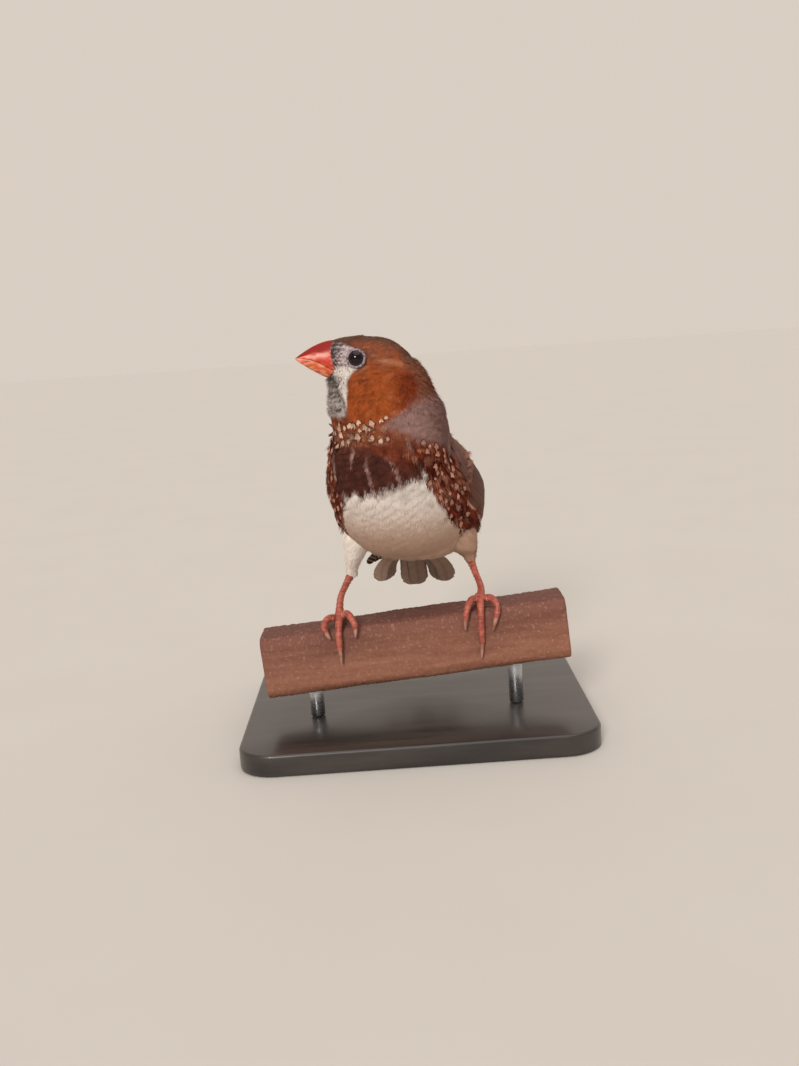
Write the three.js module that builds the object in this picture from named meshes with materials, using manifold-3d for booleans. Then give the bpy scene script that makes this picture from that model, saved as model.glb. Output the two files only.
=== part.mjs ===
// A male zebra finch at life size, gripping a short cut length of wooden batten that two rods and a
// flat base hold up. Millimetres, +Z up. The bird's breast faces -Y, its left side is +X, and its
// head is turned to its right, towards -X. The origin is the middle of the base's underside.
import * as THREE from "three";
import { mergeVertices } from "three/addons/utils/BufferGeometryUtils.js";
import Module from "manifold-3d";

const wasm = await Module();
wasm.setup();

// Driving sizes
const GAP = 0.3; // between neighbouring pieces
const DEG = Math.PI / 180;
const BASE = { width: 96, depth: 90, thick: 6, corner: 10, bevel: 0.8 };
const PERCH = { length: 84, depth: 16, height: 17.5, round: 3, tilt: 4 * DEG, top: 34 };
const ROD = { radius: 2, apart: 56, sides: 16 };
const FEET_AHEAD = 15; // of the base's middle

// Rings of the body along the spine, from behind the tail root to the cheeks. at is the ring's
// centre from the point between the feet on top of the batten. right, left, belly and back are
// its half sizes, turn is how far the ring's front swings to the bird's right in degrees, and
// wing gives the half width and the back of the surface that the folded wings lie on there.
const RINGS = [
  { at: [2.1, 50, 4], right: 2.6, left: 2.6, belly: 1.6, back: 1.6, turn: 4, wing: [4.2, 3.2] },
  { at: [1.8, 42, 11], right: 4.2, left: 4.2, belly: 2.8, back: 2.8, turn: 5, wing: [6.8, 5.2] },
  { at: [1.5, 33.5, 17.6], right: 8.2, left: 8.2, belly: 6, back: 5.6, turn: 6, wing: [10.2, 7.8] },
  { at: [1.2, 25.5, 23], right: 13.4, left: 13.4, belly: 10.2, back: 10, turn: 7, wing: [14.6, 11.2] },
  { at: [2, 16.5, 28], right: 17.2, left: 17.2, belly: 15.6, back: 14.2, turn: 8, wing: [18.2, 14.8] },
  { at: [1.4, 7.5, 33], right: 19.4, left: 19.4, belly: 19.8, back: 16.2, turn: 9, wing: [19.8, 16.4] },
  { at: [-1, -0.5, 39], right: 19, left: 19, belly: 20.2, back: 16, turn: 9, wing: [19, 16.1] },
  { at: [-2.2, -6.5, 46], right: 16.2, left: 16.2, belly: 17, back: 14.8, turn: 7, wing: [16.4, 15] },
  { at: [-2.2, -10, 53], right: 15, left: 14.8, belly: 12.8, back: 13, turn: 2, wing: [15.2, 13.2] },
  { at: [-3.4, -11.4, 59.5], right: 14.4, left: 13.7, belly: 10.6, back: 11, turn: -6, wing: [14.4, 11.2] },
  { at: [-4.2, -12, 65.5], right: 13.1, left: 12.8, belly: 9.3, back: 9.1, turn: -12, wing: [13, 10] },
  { at: [-5, -12, 70.5], right: 11.7, left: 10.8, belly: 8.4, back: 8.2, turn: -12, wing: [12, 9] },
];
const CROWN = [-8.6, -12.6, 77.2];
const FULL = 0.84; // how square the belly half of a ring is, 1 being an ellipse
const DOME = { right: 0.6, left: 1.9, belly: 1.1, back: 1.1 }; // how soon each side closes over
const CHEEKS = RINGS.length - 1;
const AROUND = 32; // points round the body

// Where the body is parted along the rings. A seam of this length there is about GAP wide.
const TAIL_ROOT = 2;
const NECK_LOW = 8.1;
const NECK_HIGH = 9.2;
const SEAM = 0.05;

// Head pieces, in millimetres along the beak and up from its middle line
const BEAK = { root: [-15.3, -14.2, 71.1], tip: [-25.2, -16.3, 71.9], sunk: 1.4, sides: 14 };
const BEAK_RINGS = [
  { at: 0, top: 4.9, low: 5.1, wide: 4.1 },
  { at: 0.2, top: 4.6, low: 4.6, wide: 3.7 },
  { at: 0.42, top: 3.8, low: 3.5, wide: 2.95 },
  { at: 0.65, top: 2.6, low: 2.05, wide: 1.95 },
  { at: 0.85, top: 1.2, low: 0.9, wide: 0.95 },
  { at: 0.96, top: 0.42, low: 0.34, wide: 0.4 },
];
const RIDGE = 0.12; // how much narrower the beak is at the top of its upper half
const GAPE_LINE = [[-0.3, -3.9], [0.1, -2.7], [0.48, -0.5], [1.1, 0.25]]; // share of the length, up
const GAPE = 0.15; // how far each half of the beak stands back from that line
const NOSTRIL = { at: 0.07, up: 3.1, aside: 2.95, radius: 0.5 };
const EYE = { place: 11.12, round: -25, radius: 2.6, sunk: 1.7, lid: 2.38, rim: 0.4 };

// The solid base of a folded wing, from the shoulder to its end under the long feathers. low and
// high are its edges in degrees round from the belly, pinch is how far they close in at the very
// front, over a length of front, and lift is the underside's height over the body.
const WING_BASE = {
  first: 7.1,
  last: 2.9,
  low: [74, 92],
  high: [136, 158],
  pinch: [22, 14],
  front: 0.126,
  thick: [1.1, 0.5],
  lift: 0.45,
};

// Feather tiers of a folded wing: flight feathers, then those of the forearm and the back, then the
// coverts and the shoulder. Each has vanes side by side, whose roots and tips run from the first
// place to the last: [place along the rings, degrees round from the belly].
const TIERS = [
  { count: 6, root: [[4.2, 76], [4, 100]], tip: [[1.9, 122], [0.6, 146]], half: 2.2, lift: [0.4, 0.6] },
  { count: 5, root: [[4.8, 76], [4.7, 116]], tip: [[2.6, 98], [2, 142]], half: 2.8, lift: [0.5, 0.8] },
  { count: 3, root: [[4.9, 122], [5.2, 144]], tip: [[2.3, 146], [3, 158]], half: 3.3, lift: [0.6, 1] },
  { count: 6, root: [[5.6, 72], [5.8, 132]], tip: [[4.3, 74], [4, 134]], half: 3.2, lift: [0.7, 1.1] },
  { count: 5, root: [[6.3, 74], [6.5, 128]], tip: [[5.3, 72], [5.2, 130]], half: 3.4, lift: [0.7, 1.2] },
  { count: 3, root: [[6.9, 112], [6.9, 144]], tip: [[5.5, 120], [4.8, 154]], half: 3.6, lift: [0.7, 1.25] },
];

// Outlines of a long and a short vane: [share of the length, share of the half width]
const LEAF = [[0, 0.5], [0.35, 0.95], [0.74, 1], [0.92, 0.68]];
const SHORT_LEAF = [[0, 0.6], [0.55, 1], [0.9, 0.7]];
const SHORT = 1.7; // the length along the rings under which a vane takes the short outline
const VANE = { thick: 0.55, tilt: 0.07 }; // tilt raises one edge over the next vane

// The tail: three bunches of four feathers, as they hang under the bird, with coverts over and
// under their roots. Angles are in degrees from the tail's middle line.
const TAIL = { root: 1.45, tip: [2.3, 54.5, -3.6], half: 4.2, layer: 0.4, arch: 1.2 };
const BUNCHES = [
  { swing: -21.5, length: 1.03 },
  { swing: 0.5, length: 1.1 },
  { swing: 22.5, length: 1.05 },
];
const BUNCH = { count: 4, apart: 1.5, shorter: 0.012 };
const COVERTS = {
  count: 5,
  spread: 11,
  half: 3,
  length: 0.52,
  shorter: 0.25,
  over: 1.5,
  under: -4.4,
  drop: 0.9,
};

// Legs from the point between the feet: the thigh's rings of feathers and the heel. The foot's root
// is placed on the batten, along it, across it and up from its top, and toes and claws from there.
const LEGS = {
  right: {
    thigh: [
      { at: [-8.8, 1.6, 29.5], wide: 4, deep: 4.6 },
      { at: [-9.8, 2.6, 25.6], wide: 6.2, deep: 6.8 },
      { at: [-11.3, 3.8, 21.5], wide: 6.3, deep: 6.8 },
      { at: [-12.9, 5, 17], wide: 4.8, deep: 5.4 },
      { at: [-14.9, 6.1, 13], wide: 2.8, deep: 3.1 },
      { at: [-15.7, 6.7, 10.8], wide: 1.9, deep: 2 },
    ],
    heel: [-15.9, 7, 10],
    foot: [-19.6, -3.4, 2.2],
    toes: [
      {
        path: [[0.5, -0.6, 0], [2.4, -3, 1.4], [3.9, -5.6, -0.5], [4.2, -6.1, -2.4]],
        claw: [3.7, -6, -5],
      },
      {
        path: [[0, -0.8, 0], [-0.1, -3.4, -0.5], [-0.5, -5.6, -3], [-0.8, -6.1, -7.8]],
        claw: [-0.9, -6, -12],
      },
      {
        path: [[-0.7, -0.6, 0], [-3, -2.6, 0.6], [-4.3, -5.2, -0.9], [-3.8, -6.1, -2.3]],
        claw: [-2.9, -6.1, -4.4],
      },
      { path: [[0, 0.6, -0.2], [0.3, 3.4, -0.6], [0.5, 6.6, -0.8]], claw: [0.4, 11.3, -1.4] },
    ],
  },
  left: {
    thigh: [
      { at: [10.4, 1.6, 30.5], wide: 4, deep: 4.6 },
      { at: [11.8, 2.6, 26.6], wide: 6.2, deep: 6.8 },
      { at: [13.4, 3.8, 22.6], wide: 6.3, deep: 6.8 },
      { at: [15.1, 5, 18.8], wide: 5, deep: 5.4 },
      { at: [16.9, 6.1, 15], wide: 2.9, deep: 3.1 },
      { at: [17.6, 6.7, 13], wide: 1.9, deep: 2 },
    ],
    heel: [17.7, 7, 12.2],
    foot: [19.4, -4.2, 2.2],
    toes: [
      {
        path: [[-0.5, -0.6, 0], [-2.6, -2.4, 0.5], [-4.2, -4.6, -1.6], [-5, -5.1, -4.2]],
        claw: [-5.3, -5.1, -7.2],
      },
      {
        path: [[0, -0.8, 0], [-0.3, -2.8, -0.5], [-0.7, -4.8, -3.2], [-1.4, -5.1, -11]],
        claw: [-2, -5.1, -15.6],
      },
      {
        path: [[0.6, -0.6, 0], [2.9, -2.3, 0.2], [4, -4.4, -1.8], [3.3, -5.1, -4.8]],
        claw: [1.9, -5.1, -8.2],
      },
      { path: [[0, 0.6, -0.2], [-0.3, 3.4, -0.6], [-0.4, 6.8, -0.8]], claw: [-0.3, 11.5, -1.3] },
    ],
  },
};
const THIGH_DOME = 2.5; // of the thigh's rounded top over its first ring
const SHANK = { wide: 1.15, narrow: 0.85, heel: 0.35, foot: 0.3, sides: 8, scutes: 9, sunk: 0.8 };
const FOOT_PAD = 1.5; // radius of the foot's root
const TOE = { thick: 1, thin: 0.72, sides: 6, scute: 1.7, middle: 1.05 };
const CLAW = { thick: 0.62, tip: 0.08, sides: 6, steps: 5, arch: 0.7 };
const SCUTE = { edge: 0.05, share: 0.86 }; // the step between two scutes, and each one's length

const vector = (p) => new THREE.Vector3(...p);
const mix = THREE.MathUtils.lerp;
const ramp = (steps) => Array.from({ length: steps + 1 }, (_, i) => i / steps);
const turns = (sides) => ramp(sides).slice(1).map((a) => a * 360);

// A smooth curve through evenly spaced values, read at place t.
function through(values, t) {
  const last = values.length - 1;
  const i = Math.min(Math.max(Math.floor(t), 0), last - 1);
  const f = t - i;
  const b = values[i];
  const c = values[i + 1];
  const a = i > 0 ? values[i - 1] : 2 * b - c;
  const d = i < last - 1 ? values[i + 2] : 2 * c - b;
  return b + 0.5 * f * (c - a + f * (2 * a - 5 * b + 4 * c - d + f * (3 * (b - c) + d - a)));
}

const reading = (key, t) => through(RINGS.map((r) => r[key]), t);
const spine = (t) => vector([0, 1, 2].map((k) => through(RINGS.map((r) => r.at[k]), t)));

// The ring's centre, its axes to the left and to the belly, and its way along the spine.
function frameAt(t) {
  const step = 0.02;
  const along = spine(t + step).sub(spine(t - step)).normalize();
  const turn = reading("turn", t) * DEG;
  const left = new THREE.Vector3(Math.cos(turn), -Math.sin(turn), 0);
  left.addScaledVector(along, -left.dot(along)).normalize();
  return { centre: spine(t), along, left, belly: left.clone().cross(along) };
}

// A sine or a cosine, squared off a little where the point lies in the belly half.
const fuller = (value, front) => (front > 0 ? Math.sign(value) * Math.abs(value) ** FULL : value);

// A point of an egg-shaped ring: angle 0 is the belly, 90 the left side and 180 the back.
function onRing(frame, sizes, angle) {
  const s = Math.sin(angle * DEG);
  const c = Math.cos(angle * DEG);
  return frame.centre
    .clone()
    .addScaledVector(frame.left, fuller(s, c) * (s > 0 ? sizes.left : sizes.right))
    .addScaledVector(frame.belly, fuller(c, c) * (c > 0 ? sizes.belly : sizes.back));
}

// The body's surface. Past the cheeks the rings close over the crown as a dome.
function bodyPoint(t, angle) {
  const low = Math.min(t, CHEEKS);
  const rise = Math.max(t - CHEEKS, 0) * 90 * DEG;
  const frame = frameAt(low);
  frame.centre.lerp(vector(CROWN), Math.sin(rise));
  const sizes = {};
  for (const key of Object.keys(DOME)) sizes[key] = reading(key, low) * Math.cos(rise) ** DOME[key];
  return onRing(frame, sizes, angle);
}

// The surface that a folded wing lies on, lifted outwards.
function wingPoint(t, angle, lift) {
  const side = through(RINGS.map((r) => r.wing[0]), t) + lift;
  const back = through(RINGS.map((r) => r.wing[1]), t) + lift;
  return onRing(frameAt(t), { left: side, right: side, belly: side, back }, angle);
}

// A closed mesh as a solid, turned inside out where its faces point inwards.
function toSolid(points, faces) {
  let volume = 0;
  for (const [a, b, c] of faces) volume += points[a].dot(points[b].clone().cross(points[c]));
  const turned = volume < 0 ? faces.map(([a, b, c]) => [a, c, b]) : faces;
  return new wasm.Manifold(
    new wasm.Mesh({
      numProp: 3,
      vertProperties: new Float32Array(points.flatMap((p) => p.toArray())),
      triVerts: new Uint32Array(turned.flat()),
    }),
  );
}

// A solid through rings of equally many points, fanned shut at a point at each end. With alike set
// the diagonals turn at every other side, so that both faces of a flat piece are split the same.
function loft(rings, first, last, alike = false) {
  const around = rings[0].length;
  const points = [...rings.flat(), first, last];
  const faces = [];
  for (let i = 0; i < rings.length - 1; i++)
    for (let j = 0; j < around; j++) {
      const a = i * around + j;
      const b = i * around + ((j + 1) % around);
      if (alike && j % 2 === 0) faces.push([a, b, a + around], [b, b + around, a + around]);
      else faces.push([a, b, b + around], [a, b + around, a + around]);
    }
  const end = (rings.length - 1) * around;
  for (let j = 0; j < around; j++) {
    const k = (j + 1) % around;
    faces.push([k, j, points.length - 2], [end + j, end + k, points.length - 1]);
  }
  return toSolid(points, faces);
}

const join = (solids) => solids.reduce((sum, s) => sum.add(s));

// The largest closed piece of a solid that joining or cutting may have left in several.
function largest(solid) {
  return solid.decompose().reduce((best, s) => (s.volume() > best.volume() ? s : best));
}

// A three.js geometry as a solid, once its doubled corners are merged.
function fromGeometry(geometry) {
  geometry.deleteAttribute("normal");
  geometry.deleteAttribute("uv");
  const merged = mergeVertices(geometry, 1e-4);
  return new wasm.Manifold(
    new wasm.Mesh({
      numProp: 3,
      vertProperties: merged.attributes.position.array,
      triVerts: new Uint32Array(merged.index.array),
    }),
  );
}

function meshOf(name, solid, material) {
  const { vertProperties, triVerts, numProp } = largest(solid).getMesh();
  const geometry = new THREE.BufferGeometry();
  const positions = new Float32Array((vertProperties.length / numProp) * 3);
  for (let i = 0; i < positions.length / 3; i++)
    positions.set(vertProperties.subarray(i * numProp, i * numProp + 3), i * 3);
  geometry.setAttribute("position", new THREE.BufferAttribute(positions, 3));
  geometry.setIndex(new THREE.BufferAttribute(triVerts, 1));
  geometry.computeVertexNormals();
  const mesh = new THREE.Mesh(geometry, material);
  mesh.name = name;
  return mesh;
}

const paint = (color, roughness, metalness = 0) =>
  new THREE.MeshStandardMaterial({ color, roughness, metalness });
const MATERIALS = {
  head: paint(0x9a4f26, 0.85),
  neck: paint(0x8b7670, 0.85),
  torso: paint(0xd9c8b8, 0.9),
  wing: paint(0x6f4f48, 0.75),
  tail: paint(0x6d5f5a, 0.8),
  bill: paint(0xd8452a, 0.4),
  leg: paint(0xd4694a, 0.55),
  claw: paint(0xb98d78, 0.5),
  eye: paint(0x140c0c, 0.08),
  wood: paint(0x7d4a3c, 0.8),
  stand: paint(0x2b2725, 0.5),
  rod: paint(0xb9bcc0, 0.3, 1),
};

// A tube along a curve, with its radius worked out at each place from 0 to 1.
function tube(curve, places, radiusAt, sides) {
  let across = new THREE.Vector3(1, 0, 0);
  const rings = places.map((s) => {
    const way = curve.getTangentAt(s);
    across = across.clone().addScaledVector(way, -across.dot(way)).normalize();
    const up = way.clone().cross(across);
    const ring = [];
    for (let j = 0; j < sides; j++) {
      const a = (j * 2 * Math.PI) / sides;
      const point = curve.getPointAt(s).addScaledVector(across, radiusAt(s) * Math.cos(a));
      ring.push(point.addScaledVector(up, radiusAt(s) * Math.sin(a)));
    }
    return ring;
  });
  return loft(rings, curve.getPointAt(places[0]), curve.getPointAt(places.at(-1)));
}

// The body between two places on the spine, closed with flat ends.
function bodyLength(from, to, steps) {
  const rings = ramp(steps).map((s) => turns(AROUND).map((a) => bodyPoint(mix(from, to, s), a)));
  return loft(rings, spine(from), spine(to));
}

// The head from the neck over the crown. The last ring stops just short of the dome's top.
function headShape() {
  const almost = 0.965;
  const cheeks = ramp(5).map((s) => mix(NECK_HIGH + SEAM, CHEEKS, s));
  const dome = ramp(7).slice(1).map((s) => CHEEKS + almost * s);
  const rings = [...cheeks, ...dome].map((t) => turns(AROUND).map((a) => bodyPoint(t, a)));
  return loft(rings, spine(cheeks[0]), vector(CROWN));
}

// The beak: one cone of egg-shaped rings, then parted along the line of the gape.
const beakWay = vector(BEAK.tip).sub(vector(BEAK.root));
const beakSide = new THREE.Vector3(0, 0, 1).cross(beakWay).normalize();
const beakUp = beakWay.clone().cross(beakSide).normalize();
const beakPoint = (at, side, up) =>
  vector(BEAK.root)
    .addScaledVector(beakWay, at)
    .addScaledVector(beakSide, side)
    .addScaledVector(beakUp, up);

function beakShape(grow) {
  const sunk = -BEAK.sunk / beakWay.length();
  const rings = [{ ...BEAK_RINGS[0], at: sunk }, ...BEAK_RINGS].map((r) =>
    turns(BEAK.sides).map((a) => {
      const up = Math.cos(a * DEG);
      const side = Math.sin(a * DEG) * (1 - RIDGE * Math.max(up, 0));
      const tall = (up > 0 ? r.top : r.low) + grow;
      return beakPoint(r.at, side * (r.wide + grow), up * tall);
    }),
  );
  return loft(rings, beakPoint(sunk, 0, 0), beakPoint(1, 0, 0));
}

// A block that holds everything under the gape line, lowered by a drop.
function underGape(drop) {
  const reach = 9; // of the block below and beside the beak
  const outline = new THREE.Shape();
  const place = ([at, up]) => [at * beakWay.length(), up - drop];
  GAPE_LINE.forEach((p, i) => (i ? outline.lineTo(...place(p)) : outline.moveTo(...place(p))));
  outline.lineTo(place(GAPE_LINE.at(-1))[0], -reach);
  outline.lineTo(place(GAPE_LINE[0])[0], -reach);
  const slab = new THREE.ExtrudeGeometry(outline, { depth: 2 * reach, bevelEnabled: false });
  slab.translate(0, 0, -reach);
  const turn = new THREE.Matrix4().makeBasis(
    beakWay.clone().normalize(),
    beakUp,
    beakSide.clone().negate(),
  );
  slab.applyMatrix4(turn.setPosition(vector(BEAK.root)));
  return fromGeometry(slab);
}

function ball(centre, radius, wide = 14, tall = 10) {
  const geometry = new THREE.SphereGeometry(radius, wide, tall);
  geometry.translate(...centre.toArray());
  return fromGeometry(geometry);
}

// Where an eye sits and which way it looks: side is 1 for the left eye and -1 for the right.
function eyeFrame(side) {
  const angle = side > 0 ? EYE.round : 180 - EYE.round;
  const at = bodyPoint(EYE.place, angle);
  const up = bodyPoint(EYE.place + 0.05, angle).sub(bodyPoint(EYE.place - 0.05, angle));
  const round = bodyPoint(EYE.place, angle + 3).sub(bodyPoint(EYE.place, angle - 3));
  return { at, out: round.cross(up).normalize() };
}

function eyeCentre(side) {
  const { at, out } = eyeFrame(side);
  return at.addScaledVector(out, -EYE.sunk);
}

function lidRing(side) {
  const { at, out } = eyeFrame(side);
  const ring = new THREE.TorusGeometry(EYE.lid, EYE.rim, 5, 16);
  ring.applyQuaternion(
    new THREE.Quaternion().setFromUnitVectors(new THREE.Vector3(0, 0, 1), out),
  );
  ring.translate(...at.toArray());
  return fromGeometry(ring);
}

// A feather vane: a leaf four-sided across, with two edges, a ridge and a keel. spot(s, across,
// lift) gives a point on what the vane lies on, at s from 0 at the root to 1 at the tip.
function vane(spot, half, { tilt = 0, leaf = LEAF } = {}) {
  const middle = VANE.thick / 2;
  const rings = leaf.map(([s, wide]) => {
    const w = half * wide;
    return [
      spot(s, -w, middle - tilt * w),
      spot(s, 0, 0),
      spot(s, w, middle + tilt * w),
      spot(s, 0, VANE.thick),
    ];
  });
  const behind = -0.02; // the root's point, just behind its first ring
  return loft(rings, spot(behind, 0, middle), spot(1, 0, middle), true);
}

// The wing's solid base: a shell that is thickest in its middle, under the roots of the vanes.
function wingBase(side) {
  const across = ramp(5);
  const rings = ramp(7).map((s) => {
    const t = mix(WING_BASE.first, WING_BASE.last, s);
    const open = Math.sin(Math.PI * mix(0.08, 0.5, Math.min(s / WING_BASE.front, 1)));
    const low = mix(...WING_BASE.low, s ** 1.5) + WING_BASE.pinch[0] * (1 - open);
    const high = mix(...WING_BASE.high, Math.sqrt(s)) - WING_BASE.pinch[1] * (1 - open);
    const thick = mix(...WING_BASE.thick, s) * mix(0.4, 1, open);
    const place = (a, lift) => wingPoint(t, side * mix(low, high, a), WING_BASE.lift + lift);
    const under = across.map((a) => place(a, 0));
    const over = across.slice(1, -1).reverse();
    return [...under, ...over.map((a) => place(a, thick * mix(0.55, 1, Math.sin(Math.PI * a))))];
  });
  return loft(rings, middleOf(rings[0]), middleOf(rings.at(-1)));
}

const middleOf = (ring) =>
  ring.reduce((sum, p) => sum.add(p), new THREE.Vector3()).divideScalar(ring.length);

function wing(side) {
  const pieces = [wingBase(side)];
  for (const tier of TIERS)
    for (const k of ramp(tier.count - 1)) {
      const root = tier.root[0].map((v, i) => mix(v, tier.root[1][i], k));
      const tip = tier.tip[0].map((v, i) => mix(v, tier.tip[1][i], k));
      const spot = (s, across, lift) => {
        const t = mix(root[0], tip[0], s);
        const degrees = across / reading("right", Math.max(t, TAIL_ROOT)) / DEG;
        return wingPoint(t, side * (mix(root[1], tip[1], s) + degrees), mix(...tier.lift, s) + lift);
      };
      const leaf = root[0] - tip[0] < SHORT ? SHORT_LEAF : LEAF;
      pieces.push(vane(spot, tier.half, { tilt: VANE.tilt, leaf }));
    }
  return join(pieces);
}

// The tail: a core behind the torso that carries the long vanes, with coverts over and under it.
function tail() {
  const coreEnd = 0.9;
  const root = spine(TAIL.root);
  const way = vector(TAIL.tip).sub(root);
  const side = new THREE.Vector3(1, 0, 0);
  const over = side.clone().cross(way).normalize();
  const pieces = [bodyLength(coreEnd, TAIL_ROOT - SEAM, 5)];
  const feather = (swing, length, half, layer, arch = TAIL.arch) => {
    const spot = (s, across, up) => {
      const a = swing * DEG;
      const aside = Math.sin(a) * way.length() * length * s + across * Math.cos(a);
      return root
        .clone()
        .addScaledVector(way, Math.cos(a) * length * s)
        .addScaledVector(side, aside)
        .addScaledVector(over, layer + up + arch * Math.sin(Math.PI * Math.min(s, 0.5)));
    };
    pieces.push(vane(spot, half));
  };
  const middle = (BUNCH.count - 1) / 2;
  BUNCHES.forEach(({ swing, length }, bunch) => {
    for (let i = 0; i < BUNCH.count; i++) {
      const outward = [BUNCH.count - 1 - i, Math.abs(i - middle), i][bunch]; // from the tail's middle
      const layer = -TAIL.layer * (3 * Math.abs(bunch - 1) + outward);
      const shorter = 1 - BUNCH.shorter * Math.abs(i - middle);
      feather(swing + (i - middle) * BUNCH.apart, length * shorter, TAIL.half, layer);
    }
  });
  for (const k of ramp(COVERTS.count - 1)) {
    const aside = 2 * k - 1;
    const short = COVERTS.length * (1 - COVERTS.shorter * Math.abs(aside));
    const drop = COVERTS.drop * aside * aside;
    feather(COVERTS.spread * aside, short, COVERTS.half, COVERTS.over - drop);
    feather(COVERTS.spread * aside, short, COVERTS.half, COVERTS.under + drop, 0);
  }
  return join(pieces);
}

// Places on the batten: along it, across it and up from its top.
const onPerch = ([along, across, up]) =>
  new THREE.Vector3(along, across, up).applyAxisAngle(new THREE.Vector3(0, 1, 0), -PERCH.tilt);

// A thigh of feathers round the leg, wide at the body and narrow at the heel.
function thigh({ thigh: rings }, grow) {
  const loops = rings.map(({ at, wide, deep }) =>
    turns(14).map((a) => {
      const x = (wide + grow) * Math.cos(a * DEG);
      const y = (deep + grow) * Math.sin(a * DEG);
      return vector(at).add(new THREE.Vector3(x, y, 0));
    }),
  );
  const first = vector(rings[0].at).add(new THREE.Vector3(0, 0, THIGH_DOME + grow));
  return loft(loops, first, vector(rings.at(-1).at).add(new THREE.Vector3(0, 0, -grow)));
}

// Places of rings for overlapping scutes: each begins wide and ends narrow, where the next begins.
function scuted(count) {
  const places = [];
  for (let i = 0; i < count; i++) places.push(i / count, (i + SCUTE.share) / count);
  return [...places, 1];
}
const scuteEdge = (places, s) => (places.indexOf(s) % 2 ? -SCUTE.edge : SCUTE.edge);

// The bare lower leg: thick at the heel and above the foot, with its top sunk in the thigh.
function shank({ heel, foot }) {
  const from = vector(heel);
  const to = onPerch(foot);
  from.addScaledVector(to.clone().sub(from).normalize(), -SHANK.sunk);
  const places = scuted(SHANK.scutes);
  const radiusAt = (s) => {
    const knobs = SHANK.heel * Math.max(1 - s / 0.2, 0) + SHANK.foot * Math.max(s / 0.25 - 3, 0);
    return mix(SHANK.wide, SHANK.narrow, Math.sin(Math.PI * s)) + knobs + scuteEdge(places, s);
  };
  return tube(new THREE.LineCurve3(from, to), places, radiusAt, SHANK.sides);
}

function toe(root, path, index, grow) {
  const curve = new THREE.CatmullRomCurve3(path.map((p) => root.clone().add(onPerch(p))));
  const places = scuted(Math.round(curve.getLength() / TOE.scute));
  const girth = index === 1 ? TOE.middle : 1;
  const radiusAt = (s) => mix(TOE.thick, TOE.thin, s) * girth + scuteEdge(places, s) + grow;
  return tube(curve, places, radiusAt, TOE.sides);
}

// The foot: its root and four toes, grown by a margin where it is to cut the shank.
function footShape({ foot, toes }, grow) {
  const root = onPerch(foot);
  const pieces = toes.map(({ path }, i) => toe(root, path, i, grow));
  return join([ball(root, FOOT_PAD + grow, 10, 6), ...pieces]);
}

// A curved claw that begins a gap past the toe's end and runs on in the toe's direction.
function clawOf(foot, { path, claw }) {
  const [before, from, to] = [path.at(-2), path.at(-1), claw].map((p) => foot.clone().add(onPerch(p)));
  const way = from.clone().sub(before).normalize();
  from.addScaledVector(way, GAP);
  const bend = from.clone().lerp(to, 0.45).addScaledVector(way, CLAW.arch);
  const curve = new THREE.QuadraticBezierCurve3(from, bend, to);
  const radiusAt = (s) => CLAW.thick * (1 - s) ** 0.7 + CLAW.tip;
  return tube(curve, ramp(CLAW.steps), radiusAt, CLAW.sides);
}

// The outline of a board with rounded corners.
function roundedOutline(width, depth, radius) {
  const shape = new THREE.Shape();
  const x = width / 2 - radius;
  const y = depth / 2 - radius;
  shape.absarc(x, y, radius, 0, Math.PI / 2);
  shape.absarc(-x, y, radius, Math.PI / 2, Math.PI);
  shape.absarc(-x, -y, radius, Math.PI, 1.5 * Math.PI);
  shape.absarc(x, -y, radius, 1.5 * Math.PI, 2 * Math.PI);
  return shape;
}

// The batten, whose top passes through the point between the feet.
function perch() {
  const outline = roundedOutline(PERCH.depth, PERCH.height, PERCH.round);
  const options = { depth: PERCH.length, bevelEnabled: false, curveSegments: 5 };
  const geometry = new THREE.ExtrudeGeometry(outline, options);
  geometry.translate(0, 0, -PERCH.length / 2);
  geometry.applyMatrix4(
    new THREE.Matrix4().makeBasis(
      new THREE.Vector3(0, 1, 0),
      new THREE.Vector3(0, 0, 1),
      new THREE.Vector3(1, 0, 0),
    ),
  );
  geometry.translate(0, 0, -PERCH.height / 2);
  geometry.rotateY(-PERCH.tilt);
  return fromGeometry(geometry);
}

function standBase() {
  const { width, depth, thick, corner, bevel } = BASE;
  const outline = roundedOutline(width - 2 * bevel, depth - 2 * bevel, corner - bevel);
  const geometry = new THREE.ExtrudeGeometry(outline, {
    depth: thick - 2 * bevel,
    bevelThickness: bevel,
    bevelSize: bevel,
    bevelSegments: 1,
    curveSegments: 4,
  });
  geometry.translate(0, 0, bevel);
  return fromGeometry(geometry);
}

// A rod from the base up to the tilted underside of the batten.
function standRod(x) {
  const low = () => BASE.thick + GAP;
  const drop = PERCH.height / Math.cos(PERCH.tilt) + GAP;
  const high = (at) => PERCH.top + at * Math.tan(PERCH.tilt) - drop;
  const ringAt = (height) =>
    turns(ROD.sides).map((a) => {
      const dx = ROD.radius * Math.cos(a * DEG);
      const dy = ROD.radius * Math.sin(a * DEG);
      return new THREE.Vector3(x + dx, dy - FEET_AHEAD, height(x + dx));
    });
  const end = (height) => new THREE.Vector3(x, -FEET_AHEAD, height(x));
  return loft([ringAt(low), ringAt(high)], end(low), end(high));
}

const group = new THREE.Group();
const bird = new THREE.Group();
bird.position.set(0, -FEET_AHEAD, PERCH.top);
group.add(bird);

// Body and head
const legSides = Object.entries(LEGS);
let torso = bodyLength(TAIL_ROOT, NECK_LOW, 20);
for (const [, leg] of legSides) torso = torso.subtract(thigh(leg, GAP));
bird.add(meshOf("torso", torso, MATERIALS.torso));
bird.add(meshOf("neck", bodyLength(NECK_LOW + SEAM, NECK_HIGH, 4), MATERIALS.neck));

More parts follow.
